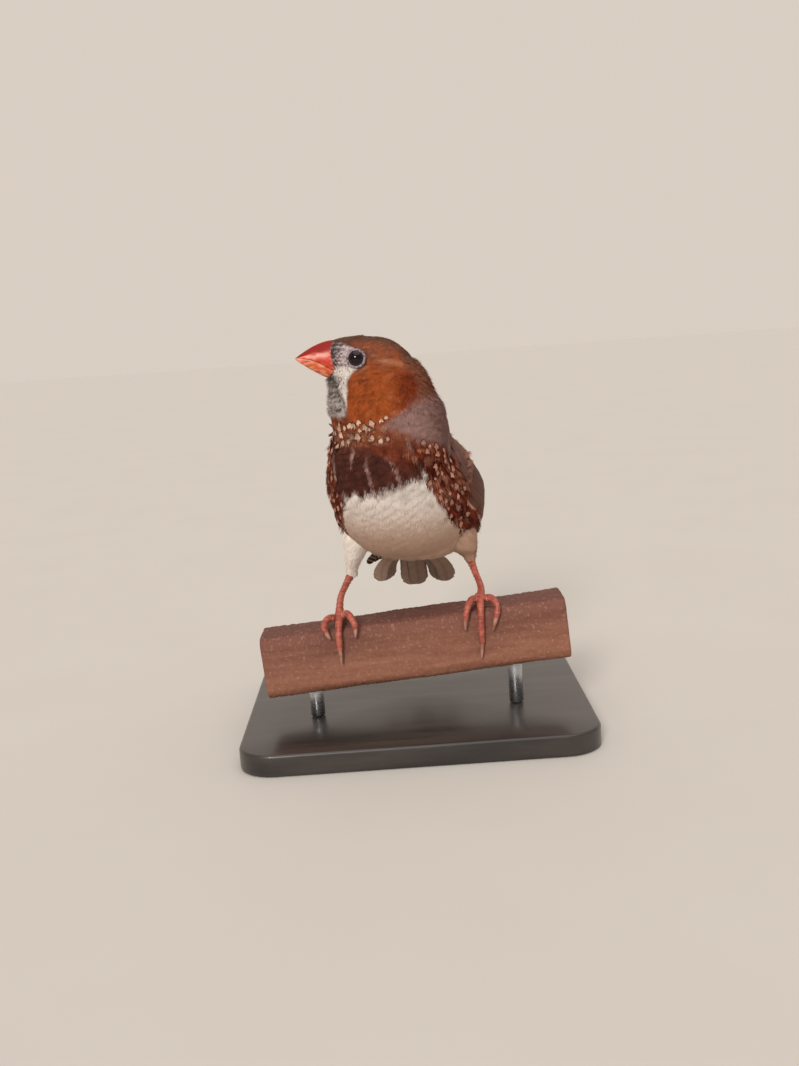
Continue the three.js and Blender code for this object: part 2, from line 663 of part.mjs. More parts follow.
let head = headShape();
for (const side of [1, -1]) head = head.add(lidRing(side));
head = head.subtract(beakShape(GAP));
for (const side of [1, -1]) head = head.subtract(ball(eyeCentre(side), EYE.radius + GAP, 14, 9));
bird.add(meshOf("head", head, MATERIALS.head));

let billUpper = beakShape(0).subtract(underGape(-GAPE));
for (const side of [1, -1]) {
  const at = beakPoint(NOSTRIL.at, side * NOSTRIL.aside, NOSTRIL.up);
  billUpper = billUpper.subtract(ball(at, NOSTRIL.radius, 8, 6));
}
bird.add(meshOf("bill_upper", billUpper, MATERIALS.bill));
bird.add(meshOf("bill_lower", beakShape(0).intersect(underGape(GAPE)), MATERIALS.bill));
bird.add(meshOf("eye_left", ball(eyeCentre(1), EYE.radius), MATERIALS.eye));
bird.add(meshOf("eye_right", ball(eyeCentre(-1), EYE.radius), MATERIALS.eye));

// Wings and tail
bird.add(meshOf("wing_left", wing(1), MATERIALS.wing));
bird.add(meshOf("wing_right", wing(-1), MATERIALS.wing));
bird.add(meshOf("tail", tail(), MATERIALS.tail));

// Legs
for (const [side, leg] of legSides) {
  bird.add(meshOf(`thigh_${side}`, thigh(leg, 0), MATERIALS.torso));
  const fitted = shank(leg).subtract(thigh(leg, GAP)).subtract(footShape(leg, GAP));
  bird.add(meshOf(`shank_${side}`, fitted, MATERIALS.leg));
  bird.add(meshOf(`foot_${side}`, footShape(leg, 0), MATERIALS.leg));
  leg.toes.forEach((one, i) =>
    bird.add(meshOf(`claw_${side}_${i + 1}`, clawOf(onPerch(leg.foot), one), MATERIALS.claw)),
  );
}

// Batten and stand
bird.add(meshOf("perch", perch(), MATERIALS.wood));
group.add(meshOf("stand_base", standBase(), MATERIALS.stand));
group.add(meshOf("stand_rod_left", standRod(ROD.apart / 2), MATERIALS.rod));
group.add(meshOf("stand_rod_right", standRod(-ROD.apart / 2), MATERIALS.rod));

export default group;
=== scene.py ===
# %% [markdown]
# # A zebra finch, feather by feather
# The model is a male zebra finch at life size that grips a short cut batten on a small stand. The
# solids of the frame give every place and size. This script dresses them: a skin, thousands of small
# feathers laid on it, flight feathers, a horny bill, scaled legs, a sawn batten and a plain stand.
# We work in millimetres from the point between the feet on top of the batten, because a bird is
# easiest to measure from its perch, and turn that into the frame's metres when a mesh is made.

import bpy
import numpy as np
from mathutils import Matrix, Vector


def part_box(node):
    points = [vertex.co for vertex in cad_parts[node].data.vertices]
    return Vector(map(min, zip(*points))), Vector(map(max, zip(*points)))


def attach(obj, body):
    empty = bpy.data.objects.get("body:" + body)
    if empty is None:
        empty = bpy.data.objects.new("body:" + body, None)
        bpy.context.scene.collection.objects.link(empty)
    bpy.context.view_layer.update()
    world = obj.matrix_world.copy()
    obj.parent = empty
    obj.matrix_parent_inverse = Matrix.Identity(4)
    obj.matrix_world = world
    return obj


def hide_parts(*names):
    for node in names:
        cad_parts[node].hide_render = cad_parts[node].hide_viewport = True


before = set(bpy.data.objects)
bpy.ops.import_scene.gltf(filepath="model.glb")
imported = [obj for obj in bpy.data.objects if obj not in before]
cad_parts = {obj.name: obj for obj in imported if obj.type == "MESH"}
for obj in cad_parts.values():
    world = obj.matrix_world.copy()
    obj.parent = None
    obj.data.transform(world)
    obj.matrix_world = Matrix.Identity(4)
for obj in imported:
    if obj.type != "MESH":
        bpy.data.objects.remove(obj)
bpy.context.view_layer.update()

MM = 0.001
BIRD = np.array([0.0, -15.0, 34.0])  # the point between the feet, in the frame's millimetres

# %% [markdown]
# ## Camera, floor and light
# The photograph looks slightly down on the bird from about a third of a metre, leaning four degrees.
# A camera is a position and three directions, so we build its matrix from those. The picture's long
# side is the sensor's width, which is what the automatic sensor fit does.
# The light is soft: a wide sun a little left of the camera, where the catchlight in the eye says that
# it was, a wider one overhead, and a pale room that is brighter behind the bird than before it. Suns
# and a room light the model evenly, so that it looks the same from every side.

# %% Camera
CAMERA_PLACE = BIRD + [-1.66, -320.16, 78.91]
PITCH, LEAN = np.radians(10), np.radians(4)
LENS, SENSOR = 40, 36

look = np.array([0, np.cos(PITCH), -np.sin(PITCH)])
level = np.array([1.0, 0, 0])
right = np.cos(LEAN) * level - np.sin(LEAN) * np.cross(level, look)
camera_data = bpy.data.cameras.new("camera")
camera_data.lens = LENS
camera_data.sensor_width = SENSOR
camera_data.clip_start = 0.01
camera = bpy.data.objects.new("camera", camera_data)
camera.matrix_world = Matrix.LocRotScale(
    (CAMERA_PLACE * MM).tolist(),
    Matrix(np.stack([right, np.cross(right, look), -look], 1).tolist()),
    None,
)
bpy.context.scene.collection.objects.link(camera)
bpy.context.scene.camera = camera
bpy.context.scene.view_settings.view_transform = "Standard"
print("camera at", [round(v, 4) for v in camera.location])


# %% Suns
def sun(name, azimuth, height, strength, spread, tint):
    """A lamp so far away that its light is even. Azimuth runs from the camera's side (-Y) towards
    +X, height is over the floor, and the spread of its disc softens the shadows."""
    lamp = bpy.data.lights.new(name, "SUN")
    lamp.energy, lamp.angle, lamp.color = strength, np.radians(spread), tint
    turn, rise = np.radians(azimuth), np.radians(height)
    back = np.array([np.sin(turn) * np.cos(rise), -np.cos(turn) * np.cos(rise), np.sin(rise)])
    side = np.cross([0, 0, 1.0], back)
    side = side / np.linalg.norm(side)
    holder = bpy.data.objects.new(name, lamp)
    holder.matrix_world = Matrix(np.stack([side, np.cross(back, side), back], 1).tolist()).to_4x4()
    bpy.context.scene.collection.objects.link(holder)


sun("key_sun", -17, 27, 1.75, 13, (1.0, 0.965, 0.93))
sun("high_sun", 10, 72, 1.1, 60, (1.0, 0.97, 0.94))

# %% [markdown]
# ## Helpers: a piece from arrays, and a material from nodes
# Every piece is a set of points and faces worked out as whole arrays. A few functions put them into a
# mesh, add the colours and the small maps that the materials read, and say which body carries it.
# The room round the model is made of nodes too, so it follows here.


# %% From arrays to a piece
def add_mesh(name, points, faces):
    """A mesh from points in bird millimetres and a list of face arrays of three or four corners."""
    mesh = bpy.data.meshes.new(name)
    corners = np.concatenate([np.asarray(f).ravel() for f in faces]).astype(np.int32)
    sizes = np.concatenate([np.full(len(f), np.shape(f)[1]) for f in faces])
    mesh.vertices.add(len(points))
    mesh.vertices.foreach_set("co", ((points + BIRD) * MM).astype(np.float32).ravel())
    mesh.loops.add(len(corners))
    mesh.loops.foreach_set("vertex_index", corners)
    mesh.polygons.add(len(sizes))
    mesh.polygons.foreach_set("loop_start", (np.cumsum(sizes) - sizes).astype(np.int32))
    mesh.update(calc_edges=True)
    return mesh


def paint_points(mesh, name, kind, values):
    """Stores one value for each point: a colour (FLOAT_COLOR), a vector or a number."""
    field = {"FLOAT_COLOR": "color", "FLOAT_VECTOR": "vector", "FLOAT": "value"}[kind]
    store = mesh.attributes.new(name, kind, "POINT")
    store.data.foreach_set(field, np.asarray(values, np.float32).ravel())


def add_map(mesh, places):
    """The map OFBake, from one place on it for each point of the mesh."""
    corner = np.empty(len(mesh.loops), np.int32)
    mesh.loops.foreach_get("vertex_index", corner)
    layer = mesh.uv_layers.new(name="OFBake")
    layer.uv.foreach_set("vector", np.asarray(places, np.float32)[corner].ravel())


def paint_colours(mesh, name, rgb):
    """Stores one colour for each point, with full alpha."""
    rgb = np.reshape(rgb, (-1, 3))
    paint_points(mesh, name, "FLOAT_COLOR", np.c_[rgb, np.ones(len(rgb))])


def add_piece(mesh, material, stands_for=(), smooth=True):
    """Shows a mesh as a piece of the model that rides on its one body."""
    mesh.polygons.foreach_set("use_smooth", np.full(len(mesh.polygons), smooth))
    mesh.materials.append(material)
    piece = bpy.data.objects.new(mesh.name, mesh)
    bpy.context.scene.collection.objects.link(piece)
    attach(piece, "root")
    if stands_for:
        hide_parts(*stands_for)
    print(f"{piece.name}: {len(mesh.loops) - 2 * len(mesh.polygons)} triangles")


# %% From nodes to a material
def colour(hex_code):
    """A colour as the eye reads it, such as d8472a, turned into the linear light of a render."""
    shown = np.array([int(hex_code[i : i + 2], 16) / 255 for i in (0, 2, 4)])
    return np.where(shown <= 0.04045, shown / 12.92, ((shown + 0.055) / 1.055) ** 2.4)


def opaque(hex_code):
    """A colour with its alpha, as a node's socket wants it."""
    return (*colour(hex_code).tolist(), 1.0)


def add_node(tree, kind, settings=(), **inputs):
    """A node with its settings, and its inputs by number (as _0) or by name (Base_Color). An input is
    another node's output or a constant value."""
    node = tree.nodes.new(kind)
    for key, value in dict(settings).items():
        setattr(node, key, value)
    for key, value in inputs.items():
        socket = node.inputs[int(key[1:]) if key[0] == "_" else key.replace("_", " ")]
        if isinstance(value, bpy.types.NodeSocket):
            tree.links.new(value, socket)
        else:
            socket.default_value = value
    return node


def maths(tree, operation, first, second=0.0, third=0.0):
    """One sum of a Math node."""
    settings = {"operation": operation}
    return add_node(tree, "ShaderNodeMath", settings, _0=first, _1=second, _2=third).outputs[0]


def mixed(tree, share, first, second, blend="MIX"):
    """Two colours mixed by a share from 0 to 1."""
    settings = {"data_type": "RGBA", "blend_type": blend}
    return add_node(tree, "ShaderNodeMix", settings, _0=share, _6=first, _7=second).outputs[2]


def between(tree, share, first, second):
    """Two colours, given as hex codes, mixed by a share."""
    return mixed(tree, share, opaque(first), opaque(second))


def shaded(tree, hue, share):
    """A colour made darker or lighter by a number."""
    grey = add_node(tree, "ShaderNodeCombineColor", _0=share, _1=share, _2=share).outputs[0]
    return mixed(tree, 1.0, hue, grey, "MULTIPLY")


def stepped(tree, value, low, high, out_low=0.0, out_high=1.0):
    """A value that runs smoothly from one number to another between two borders."""
    settings = {"interpolation_type": "SMOOTHSTEP"}
    inputs = {"Value": value, "From_Min": low, "From_Max": high, "To_Min": out_low, "To_Max": out_high}
    return add_node(tree, "ShaderNodeMapRange", settings, **inputs).outputs[0]


def new_group(name, inputs, outputs):
    """An empty node group with named sockets, and its input and output nodes."""
    tree = bpy.data.node_groups.new(name, "ShaderNodeTree")
    for direction, sockets in (("INPUT", inputs), ("OUTPUT", outputs)):
        for socket, kind in sockets.items():
            tree.interface.new_socket(socket, in_out=direction, socket_type="NodeSocket" + kind)
    return tree, tree.nodes.new("NodeGroupInput").outputs, tree.nodes.new("NodeGroupOutput").inputs


def wire(tree, sockets, **inputs):
    """Links sockets, given by name (Base_Color), to other nodes' outputs."""
    for key, output in inputs.items():
        tree.links.new(output, sockets[key.replace("_", " ")])


def place_group(tree, group, **inputs):
    """A node that runs a group in a material."""
    return add_node(tree, "ShaderNodeGroup", {"node_tree": group}, **inputs).outputs


def new_material(name, **constants):
    """A material with one Principled shader, whose constant sockets are set by name."""
    material = bpy.data.materials.new(name)
    material.use_nodes = True
    tree = material.node_tree
    shader = tree.nodes["Principled BSDF"]
    for key, value in constants.items():
        shader.inputs[key.replace("_", " ")].default_value = value
    return material, tree, shader.inputs


def object_place(tree):
    """The point's place on the object, in metres."""
    return add_node(tree, "ShaderNodeTexCoord").outputs["Object"]


def painted(tree, name, output="Color"):
    """What the mesh's points carry under a name."""
    return add_node(tree, "ShaderNodeAttribute", {"attribute_name": name}).outputs[output]


def noise_on(tree, scale, detail=2.0):
    """Noise over the object's own place, with so many waves to the metre."""
    inputs = {"Vector": object_place(tree), "Scale": scale, "Detail": detail}
    return add_node(tree, "ShaderNodeTexNoise", **inputs).outputs[0]


def relief(tree, height, strength, distance):
    """A normal that shows a height as a fine relief."""
    inputs = {"Strength": strength, "Distance": distance, "Height": height}
    return add_node(tree, "ShaderNodeBump", **inputs).outputs[0]


# %% The pale room
ROOM_FRONT, ROOM_BEHIND = (0.40, 0.382, 0.362, 1), (0.70, 0.62, 0.545, 1)
world = bpy.data.worlds.new("pale_room")
world.use_nodes = True
tree = world.node_tree
way = add_node(tree, "ShaderNodeTexCoord").outputs["Generated"]
behind = add_node(tree, "ShaderNodeSeparateXYZ", _0=way).outputs[1]
room = mixed(tree, stepped(tree, behind, -0.3, 0.8), ROOM_FRONT, ROOM_BEHIND)
wire(tree, tree.nodes["Background"].inputs, Color=room)
bpy.context.scene.world = world

# %% [markdown]
# ## The body's form
# A bird's body is one long egg that bends into a neck and a head. Twelve rings along the spine give
# its centre, its four half widths and how far its front is turned, because this bird looks over its
# right shoulder. A smooth curve through each of these numbers gives a ring anywhere between them, and
# an angle round the ring gives a point: 0 on the belly, 90 on the bird's left, 180 on its back.
# The same numbers made the solids, so what we lay on this surface fits them.

# %% The body as a function of a place along the spine and an angle
SPINE = np.array([
    (2.1, 50, 4), (1.8, 42, 11), (1.5, 33.5, 17.6), (1.2, 25.5, 23), (2, 16.5, 28), (1.4, 7.5, 33),
    (-1, -0.5, 39), (-2.2, -6.5, 46), (-2.2, -10, 53), (-3.4, -11.4, 59.5), (-4.2, -12, 65.5),
    (-5, -12, 70.5),
])
GIRTH = np.array([  # right, left, belly and back
    (2.6, 2.6, 1.6, 1.6), (4.2, 4.2, 2.8, 2.8), (8.2, 8.2, 6, 5.6), (13.4, 13.4, 10.2, 10),
    (17.2, 17.2, 15.6, 14.2), (19.4, 19.4, 19.8, 16.2), (19, 19, 20.2, 16), (16.2, 16.2, 17, 14.8),
    (15, 14.8, 12.8, 13), (14.4, 13.7, 10.6, 11), (13.1, 12.8, 9.3, 9.1), (11.7, 10.8, 8.4, 8.2),
])
TURNED = np.array([4, 5, 6, 7, 8, 9, 9, 7, 2, -6, -12, -12], float)
UNDER_WING = np.array([  # half width and back of the surface that the folded wings lie on
    (4.2, 3.2), (6.8, 5.2), (10.2, 7.8), (14.6, 11.2), (18.2, 14.8), (19.8, 16.4),
    (19, 16.1), (16.4, 15), (15.2, 13.2), (14.4, 11.2), (13, 10), (12, 9),
])
CROWN = np.array([-8.6, -12.6, 77.2])
CHEEKS = 11  # the last ring, over which the head closes as a dome
DOME = np.array([0.6, 1.9, 1.1, 1.1])
FULL = 0.84


def unit(vectors):
    """Vectors divided by their lengths."""
    return vectors / np.maximum(np.linalg.norm(vectors, axis=-1, keepdims=True), 1e-12)


def through(values, t):
    """The smooth cubic through evenly spaced values: it passes through each of them, and its slope
    there is half the step from the value before to the value after."""
    values, t = np.asarray(values, float), np.asarray(t, float)
    last = len(values) - 1
    i = np.clip(np.floor(t).astype(int), 0, last - 1)
    f, first, final = t - i, i == 0, i == last - 1
    if values.ndim == 2:
        f, first, final = f[..., None], first[..., None], final[..., None]
    b, c = values[i], values[i + 1]
    a = np.where(first, 2 * b - c, values[np.maximum(i - 1, 0)])
    d = np.where(final, 2 * c - b, values[np.minimum(i + 2, last)])
    return b + 0.5 * f * (c - a + f * (2 * a - 5 * b + 4 * c - d + f * (3 * (b - c) + d - a)))


def alike(t, angle):
    """A place and an angle as arrays of one shape."""
    return np.broadcast_arrays(np.asarray(t, float), np.asarray(angle, float))


def ring_axes(t):
    """The ring's centre, and its directions to the bird's left and to its belly."""
    along = unit(through(SPINE, t + 0.02) - through(SPINE, t - 0.02))
    turn = np.radians(through(TURNED, t))
    left = np.stack([np.cos(turn), -np.sin(turn), 0 * turn], -1)
    left = unit(left - along * (left * along).sum(-1, keepdims=True))
    return through(SPINE, t), left, np.cross(left, along)


def on_ring(centre, left, belly, sizes, angle):
    """Centre plus sine times the side's half width plus cosine times the belly's or back's. In the
    belly half both are raised to a power under 1, which makes the ring a little squarer there."""
    s, c = np.sin(np.radians(angle)), np.cos(np.radians(angle))
    s_full = np.where(c > 0, np.sign(s) * np.abs(s) ** FULL, s)
    c_full = np.where(c > 0, np.abs(c) ** FULL, c)
    x = s_full * np.where(s > 0, sizes[..., 1], sizes[..., 0])
    y = c_full * np.where(c > 0, sizes[..., 2], sizes[..., 3])
    return centre + left * x[..., None] + belly * y[..., None]


def body(t, angle):
    """A point of the body. Past the cheeks the rings rise to the crown by a sine while they shrink
    by powers of a cosine, so that the head closes as a dome."""
    t, angle = alike(t, angle)
    low = np.minimum(t, CHEEKS)
    rise = np.clip(t - CHEEKS, 0, 1) * np.pi / 2
    centre, left, belly = ring_axes(low)
    centre = centre + (CROWN - centre) * np.sin(rise)[..., None]
    return on_ring(centre, left, belly, through(GIRTH, low) * np.cos(rise)[..., None] ** DOME, angle)


def wing_bed(t, angle):
    """A point of the surface that a folded wing lies on."""
    t, angle = alike(t, angle)
    wide, back = np.moveaxis(through(UNDER_WING, t), -1, 0)
    return on_ring(*ring_axes(t), np.stack([wide, wide, wide, back], -1), angle)


def step_smoothly(value, low, high):
    """0 below low, 1 above high, and a smooth S between them."""
    x = np.clip((value - low) / (high - low), 0, 1)
    return x * x * (3 - 2 * x)


def surface_frame(surface, t, angle):
    """A point, the surface's slopes along t and along the angle, and its normal, by small steps."""
    dt, da = 0.01, 1.0
    slope_t = (surface(t + dt, angle) - surface(t - dt, angle)) / (2 * dt)
    slope_a = (surface(t, angle + da) - surface(t, angle - da)) / (2 * da)
    return surface(t, angle), slope_t, slope_a, unit(np.cross(slope_a, slope_t))


print("crown is", round(float(CROWN[2] + BIRD[2]), 1), "mm over the floor")

# %% [markdown]
# ## Eyes, bill and thighs: what the feathers have to leave room for
# The eyes sit in the sides of the head and the bill at its front. Both are placed from the same
# numbers as the solids. The thighs are short cones of feathers over the legs.

# %% Places of eyes, bill and thighs
EYE = {"place": 11.12, "round": -25, "ball": 2.6, "sunk": 1.72, "bare": 2.42}
BEAK_ROOT, BEAK_TIP = np.array([-15.3, -14.2, 71.1]), np.array([-25.2, -16.3, 71.9])
BEAK_SUNK = 1.4
BEAK_TALL = {"top": (4.9, 1.7), "low": (5.1, 1.35), "wide": (4.1, 1.5)}  # size at the root, power
THIGHS = {  # centre, half width across and half depth, from the heel up into the body
    "right": [
        ((-15.8, 6.7, 10.8), 1.7, 1.9), ((-15.5, 6.1, 13), 2.1, 2.6), ((-14.2, 5, 17), 3.3, 4.8),
        ((-12.2, 3.8, 21.5), 5.3, 6.6), ((-10.0, 2.6, 25.6), 6.0, 6.8), ((-8.8, 1.6, 29.5), 4, 4.6),
    ],
    "left": [
        ((17.6, 6.7, 12.4), 1.5, 1.8), ((17.0, 6.1, 14.2), 2.6, 2.8), ((15.0, 5, 17.2), 5.0, 5.2),
        ((13.4, 3.8, 22.0), 6.3, 6.8), ((12.0, 2.6, 26.6), 6.0, 6.8), ((10.4, 1.6, 30.5), 4, 4.6),
    ],
}


def eye_seat(side):
    """Where an eye's rim lies on the head, and which way the eye looks. side is 1 for the left."""
    angle = EYE["round"] if side > 0 else 180 - EYE["round"]
    point, _, _, normal = surface_frame(body, np.array(EYE["place"]), np.array(angle))
    return point, normal


beak_way = BEAK_TIP - BEAK_ROOT
beak_length = np.linalg.norm(beak_way)
beak_ahead = beak_way / beak_length
beak_side = unit(np.cross([0, 0, 1.0], beak_ahead))
beak_up = np.cross(beak_ahead, beak_side)


def beak_size(key, s):
    """Half size at a share s of the beak's length: the root's, times 1 minus s to a power."""
    size, power = BEAK_TALL[key]
    return size * (1 - np.clip(s, 0, 1) ** power)


def thigh(side):
    """The thigh as a function like the body's: t from the heel (0) up (5), angle round it."""
    rings = THIGHS[side]
    centres = np.array([r[0] for r in rings], float)
    sizes = np.array([r[1:] for r in rings], float)

    def surface(t, angle):
        t, angle = alike(t, angle)
        size = np.maximum(through(sizes, t), 0.3)
        x = size[..., 0] * np.sin(np.radians(angle))
        y = -size[..., 1] * np.cos(np.radians(angle))
        return through(centres, t) + np.stack([x, y, 0 * x], -1)

    return surface


EYE_SEATS = [eye_seat(side) for side in (1, -1)]
print("the beak is", round(float(beak_length), 1), "mm long, the left eye at", EYE_SEATS[0][0].round(1))

# %% [markdown]
# ## The bird's markings
# A zebra finch is a painter's chart: an orange cheek, a white stripe before it, a barred grey throat,
# a dark breast band, a cream belly and chestnut flanks with pale spots. The colours are one function
# of the place on the body, so that skin and feathers agree. Borders are short lists of measured
# places. Because the neck is twisted, we first undo the twist: `own` is the angle from the bird's own
# middle line, and the head has its own coordinates, forward, aside and up, which serve both cheeks.

# %% The bird's own chart
TWIST_AT = [0, 6.5, 7.2, 7.8, 8.4, 9.2, 9.8, 12]
TWIST = [0, 0, -15, -28, -52, -80, -90, -90]
HEAD_AXIS = np.array([-5.0, -12.0, 0.0])
HEAD_AHEAD = np.array([-0.978, -0.208, 0.0])
HEAD_LEFT = np.array([0.208, -0.978, 0.0])
WAVES = 9  # sines in one cloud


def own_angle(t, angle):
    """The angle from the bird's own middle line, from -180 to 180, once the neck's twist is undone."""
    return (angle - np.interp(t, TWIST_AT, TWIST) + 180) % 360 - 180


def head_place(points):
    """Forward, aside (the same on both cheeks) and up, in the head's own directions."""
    away = points - HEAD_AXIS
    return away @ HEAD_AHEAD, np.abs(away @ HEAD_LEFT), points[..., 2]


def wobble(points, size, seed):
    """A cloudy number of about -1 to 1: the mean of sines in random directions, scaled up."""
    draw = np.random.default_rng(seed)
    ways = unit(draw.normal(size=(WAVES, 3))) * draw.uniform(0.6, 1.5, (WAVES, 1)) * 2 * np.pi / size
    return np.sin(points @ ways.T + draw.uniform(0, 2 * np.pi, WAVES)).sum(-1) / np.sqrt(WAVES)


def bell(*terms):
    """1 at a place and 0 far from it. Each term is a value, its middle and its width."""
    return np.exp(-sum(((value - middle) / width) ** 2 for value, middle, width in terms))


def inside(x, y, corners, soft):
    """1 well inside a closed outline and 0 well outside it, by the distance to its nearest side."""
    start = np.array(corners, float)
    side = np.roll(start, -1, 0) - start
    away = np.stack([x, y], -1)[..., None, :] - start
    share = np.clip((away * side).sum(-1) / (side**2).sum(-1), 0, 1)
    distance = np.linalg.norm(away - share[..., None] * side, axis=-1).min(-1)
    crosses = (away[..., 1] >= 0) != (away[..., 1] - side[:, 1] >= 0)
    ahead = away[..., 0] < side[:, 0] * away[..., 1] / np.where(side[:, 1] == 0, 1e-9, side[:, 1])
    signed = np.where((crosses & ahead).sum(-1) % 2 == 1, distance, -distance)
    return step_smoothly(signed, -soft, soft)


# %% The outline of the plumage
HEAD_MIDDLE = np.array([-5.0, -12.0, 66.0])
PRESSED = [  # forward and up, reach, reach across and depth
    (-10, 72.7, 5.4, 10, 1.9), (1.5, 77.5, 3.4, 8, 0.4), (-14, 67.5, 3.4, 8, 0.4),
]
FACE_REACH = {"depth": 1.5, "inner": 0.9, "soft": 0.42}
PUFFED = [  # angle and reach round, places where it starts, is full, starts to end and ends, height
    (-84, 17, 5.9, 6.4, 7.1, 7.7, 0.95), (94, 16, 4.0, 4.4, 4.8, 5.4, 1.9),
    (-94, 16, 4.0, 4.4, 4.8, 5.4, 1.0), (30, 30, 3.2, 3.8, 4.5, 5.1, 1.2),
    (104, 20, 7.0, 7.9, 8.1, 8.7, 0.7), (67, 14, 3.9, 4.3, 4.9, 5.5, 1.3),
    (-67, 14, 3.9, 4.3, 4.9, 5.5, 0.7),
]


def bill_ratio(points):
    """How far points lie in front of the bill's root, in mm, and their distance from its middle line
    as a ratio of the bill's section there: 1 is on its surface."""
    away = points - BEAK_ROOT
    up, side = away @ beak_up, away @ beak_side
    tall = np.where(up > 0, BEAK_TALL["top"][0], BEAK_TALL["low"][0])
    return away @ beak_ahead, np.hypot(up / tall, side / BEAK_TALL["wide"][0])


def form(t, angle):
    """The body with small changes, each a distance times a bell of the place: crown and nape are
    pressed in towards the head's middle, the face's feathers reach forward round the bill's root,
    mostly over it, and those of the flanks and under the belly puff out, away from the spine."""
    points = body(t, angle)
    f, aside, up = head_place(points)
    deep = 0 * f
    for at_f, at_up, wide, across, depth in PRESSED:
        deep = deep + depth * np.exp(-((f - at_f) ** 2 + (up - at_up) ** 2) / wide**2 - (aside / across) ** 2)
    points = points - unit(points - HEAD_MIDDLE) * deep[..., None]
    ahead, ratio = bill_ratio(points)
    inner = FACE_REACH["inner"]
    reach = bell((np.maximum(ratio, inner), inner, FACE_REACH["soft"]))
    over = np.maximum((points - BEAK_ROOT) @ beak_up / BEAK_TALL["top"][0], 0) / np.maximum(ratio, 0.5)
    reach = reach * step_smoothly(ahead, -6, -2.5) * (0.5 + 0.5 * np.minimum(over, 1) ** 2)
    points = points + beak_ahead * (FACE_REACH["depth"] * reach)[..., None]
    signed = (np.asarray(angle) + 180) % 360 - 180
    high = 0 * f
    for at, wide, start, full, over, end, height in PUFFED:
        swell = bell((signed, at, wide)) * step_smoothly(t, start, full)
        high = high + height * swell * (1 - step_smoothly(t, over, end))
    return points + unit(points - through(SPINE, np.minimum(t, CHEEKS))) * high[..., None]


# %% Borders of the markings
CHEEK = [  # forward and up, clockwise from under the eye
    (7.4, 68.1), (8.9, 65.8), (9.3, 60.5), (9.3, 56.6), (7.5, 54.2), (1.0, 54.4), (-4.4, 57.0),
    (-8.2, 59.9), (-9.7, 62.5), (-8.8, 65.5), (-6.8, 67.5), (-6.0, 70.3), (-3.3, 73.2), (1.4, 75.4),
    (6.3, 75.6), (7.0, 74.4), (5.6, 73.9), (3.2, 73.0), (2.7, 71.0), (4.2, 68.8),
]
FACE_UP = [56, 58, 60.5, 65.5, 68.1, 69, 71.1, 73.4, 74.5, 75.6, 76.6]
FACE_EDGE = [9.8, 9.7, 9.4, 8.9, 7.2, 5.2, 3.6, 5.6, 7.2, 8.6, 9.4]  # how far forward the face begins
STRIPE = [  # the white wedge from under the eye down to a point
    (5.4, 68.6), (7.6, 67.5), (8.9, 66.2), (9.15, 64.5), (9.25, 62.4), (9.35, 60.7), (9.6, 58.6),
    (9.95, 60.7), (10.55, 62.4), (11.1, 64.5), (11.3, 66.4), (11.4, 68.2), (10.4, 69.4), (8.2, 69.2),
]
LINE_UP, LINE_AT = [58.6, 60.7, 62.4, 64.5, 66.2, 68.2, 70], [9.8, 10.1, 10.75, 11.3, 11.45, 11.65, 11.6]
CROWN_AT = [-12, -8.7, -2.3, 6.4, 9, 12]
CROWN_HALF = [7.4, 7.2, 6.2, 4.9, 4.4, 4.4]
BAND_LOW_AT, BAND_LOW = [-70, -42, -3, 21, 34, 70], [6.62, 6.70, 6.95, 7.10, 7.18, 7.25]
BAND_HIGH_AT = [-70, -45, -20, 0, 20, 28, 46, 70]
BAND_HIGH = [7.35, 7.75, 8.04, 8.09, 8.03, 7.62, 7.47, 7.4]
FLANK_AT = [3.85, 4.2, 4.63, 5.14, 5.82, 6.24, 6.62, 7.17, 7.5]
FLANK_EDGE = [61, 57, 54, 51, 46, 45, 43, 50, 48]
FLANK_TOP_AT, FLANK_TOP = [40, 50, 61, 79, 92, 110], [8.1, 8.05, 7.97, 7.82, 7.6, 7.2]
WING_EDGE_AT, WING_EDGE = [5.0, 5.8, 6.3, 6.62, 7.21, 7.72], [106, 82, 78, 87, 95, 92]
SPLITS = [  # pale shafts in the dark band: place and own angle of the two ends, and the width in mm
    (7.93, -2.3, 7.45, -15, 0.55), (7.55, 4, 7.05, 1.5, 0.5), (7.75, 26, 7.45, 25.5, 0.4),
    (7.47, 25.8, 7.07, 22.5, 0.45),
]
FLANK_SPOTS = [  # place, own angle and size, measured on the left flank
    (7.91, 65, 1.0), (7.81, 69, 0.8), (7.73, 76, 1.2), (7.72, 61, 1.0), (7.53, 74, 1.3), (7.36, 85, 0.9),
    (7.26, 65, 1.25), (7.20, 78, 1.0), (6.90, 78, 0.9), (6.65, 79, 1.4), (7.10, 63, 0.8), (7.00, 66, 0.8),
    (6.62, 71, 1.3), (6.84, 61, 1.1), (7.00, 56, 0.7), (6.96, 50, 1.1), (6.46, 61, 0.9), (6.27, 67, 1.5),
    (6.63, 50, 1.0), (6.38, 57, 0.9), (6.04, 65, 1.2), (5.91, 68, 1.1), (6.48, 47, 1.1), (6.32, 50, 1.1),
    (6.13, 56, 1.2), (5.80, 56, 1.3), (6.12, 48, 0.8), (5.83, 49, 1.0), (5.30, 62, 1.2), (5.47, 52, 1.1),
    (5.32, 54, 1.2), (4.80, 64, 1.2), (5.66, 46, 0.7), (4.67, 61, 1.0), (5.11, 50, 0.9), (4.63, 54, 0.9),
    (6.95, 86, 1.0), (5.85, 74, 1.2), (5.45, 72, 1.2),
    (4.95, 74, 1.1), (4.50, 72, 0.9), (7.55, 84, 0.9),
]
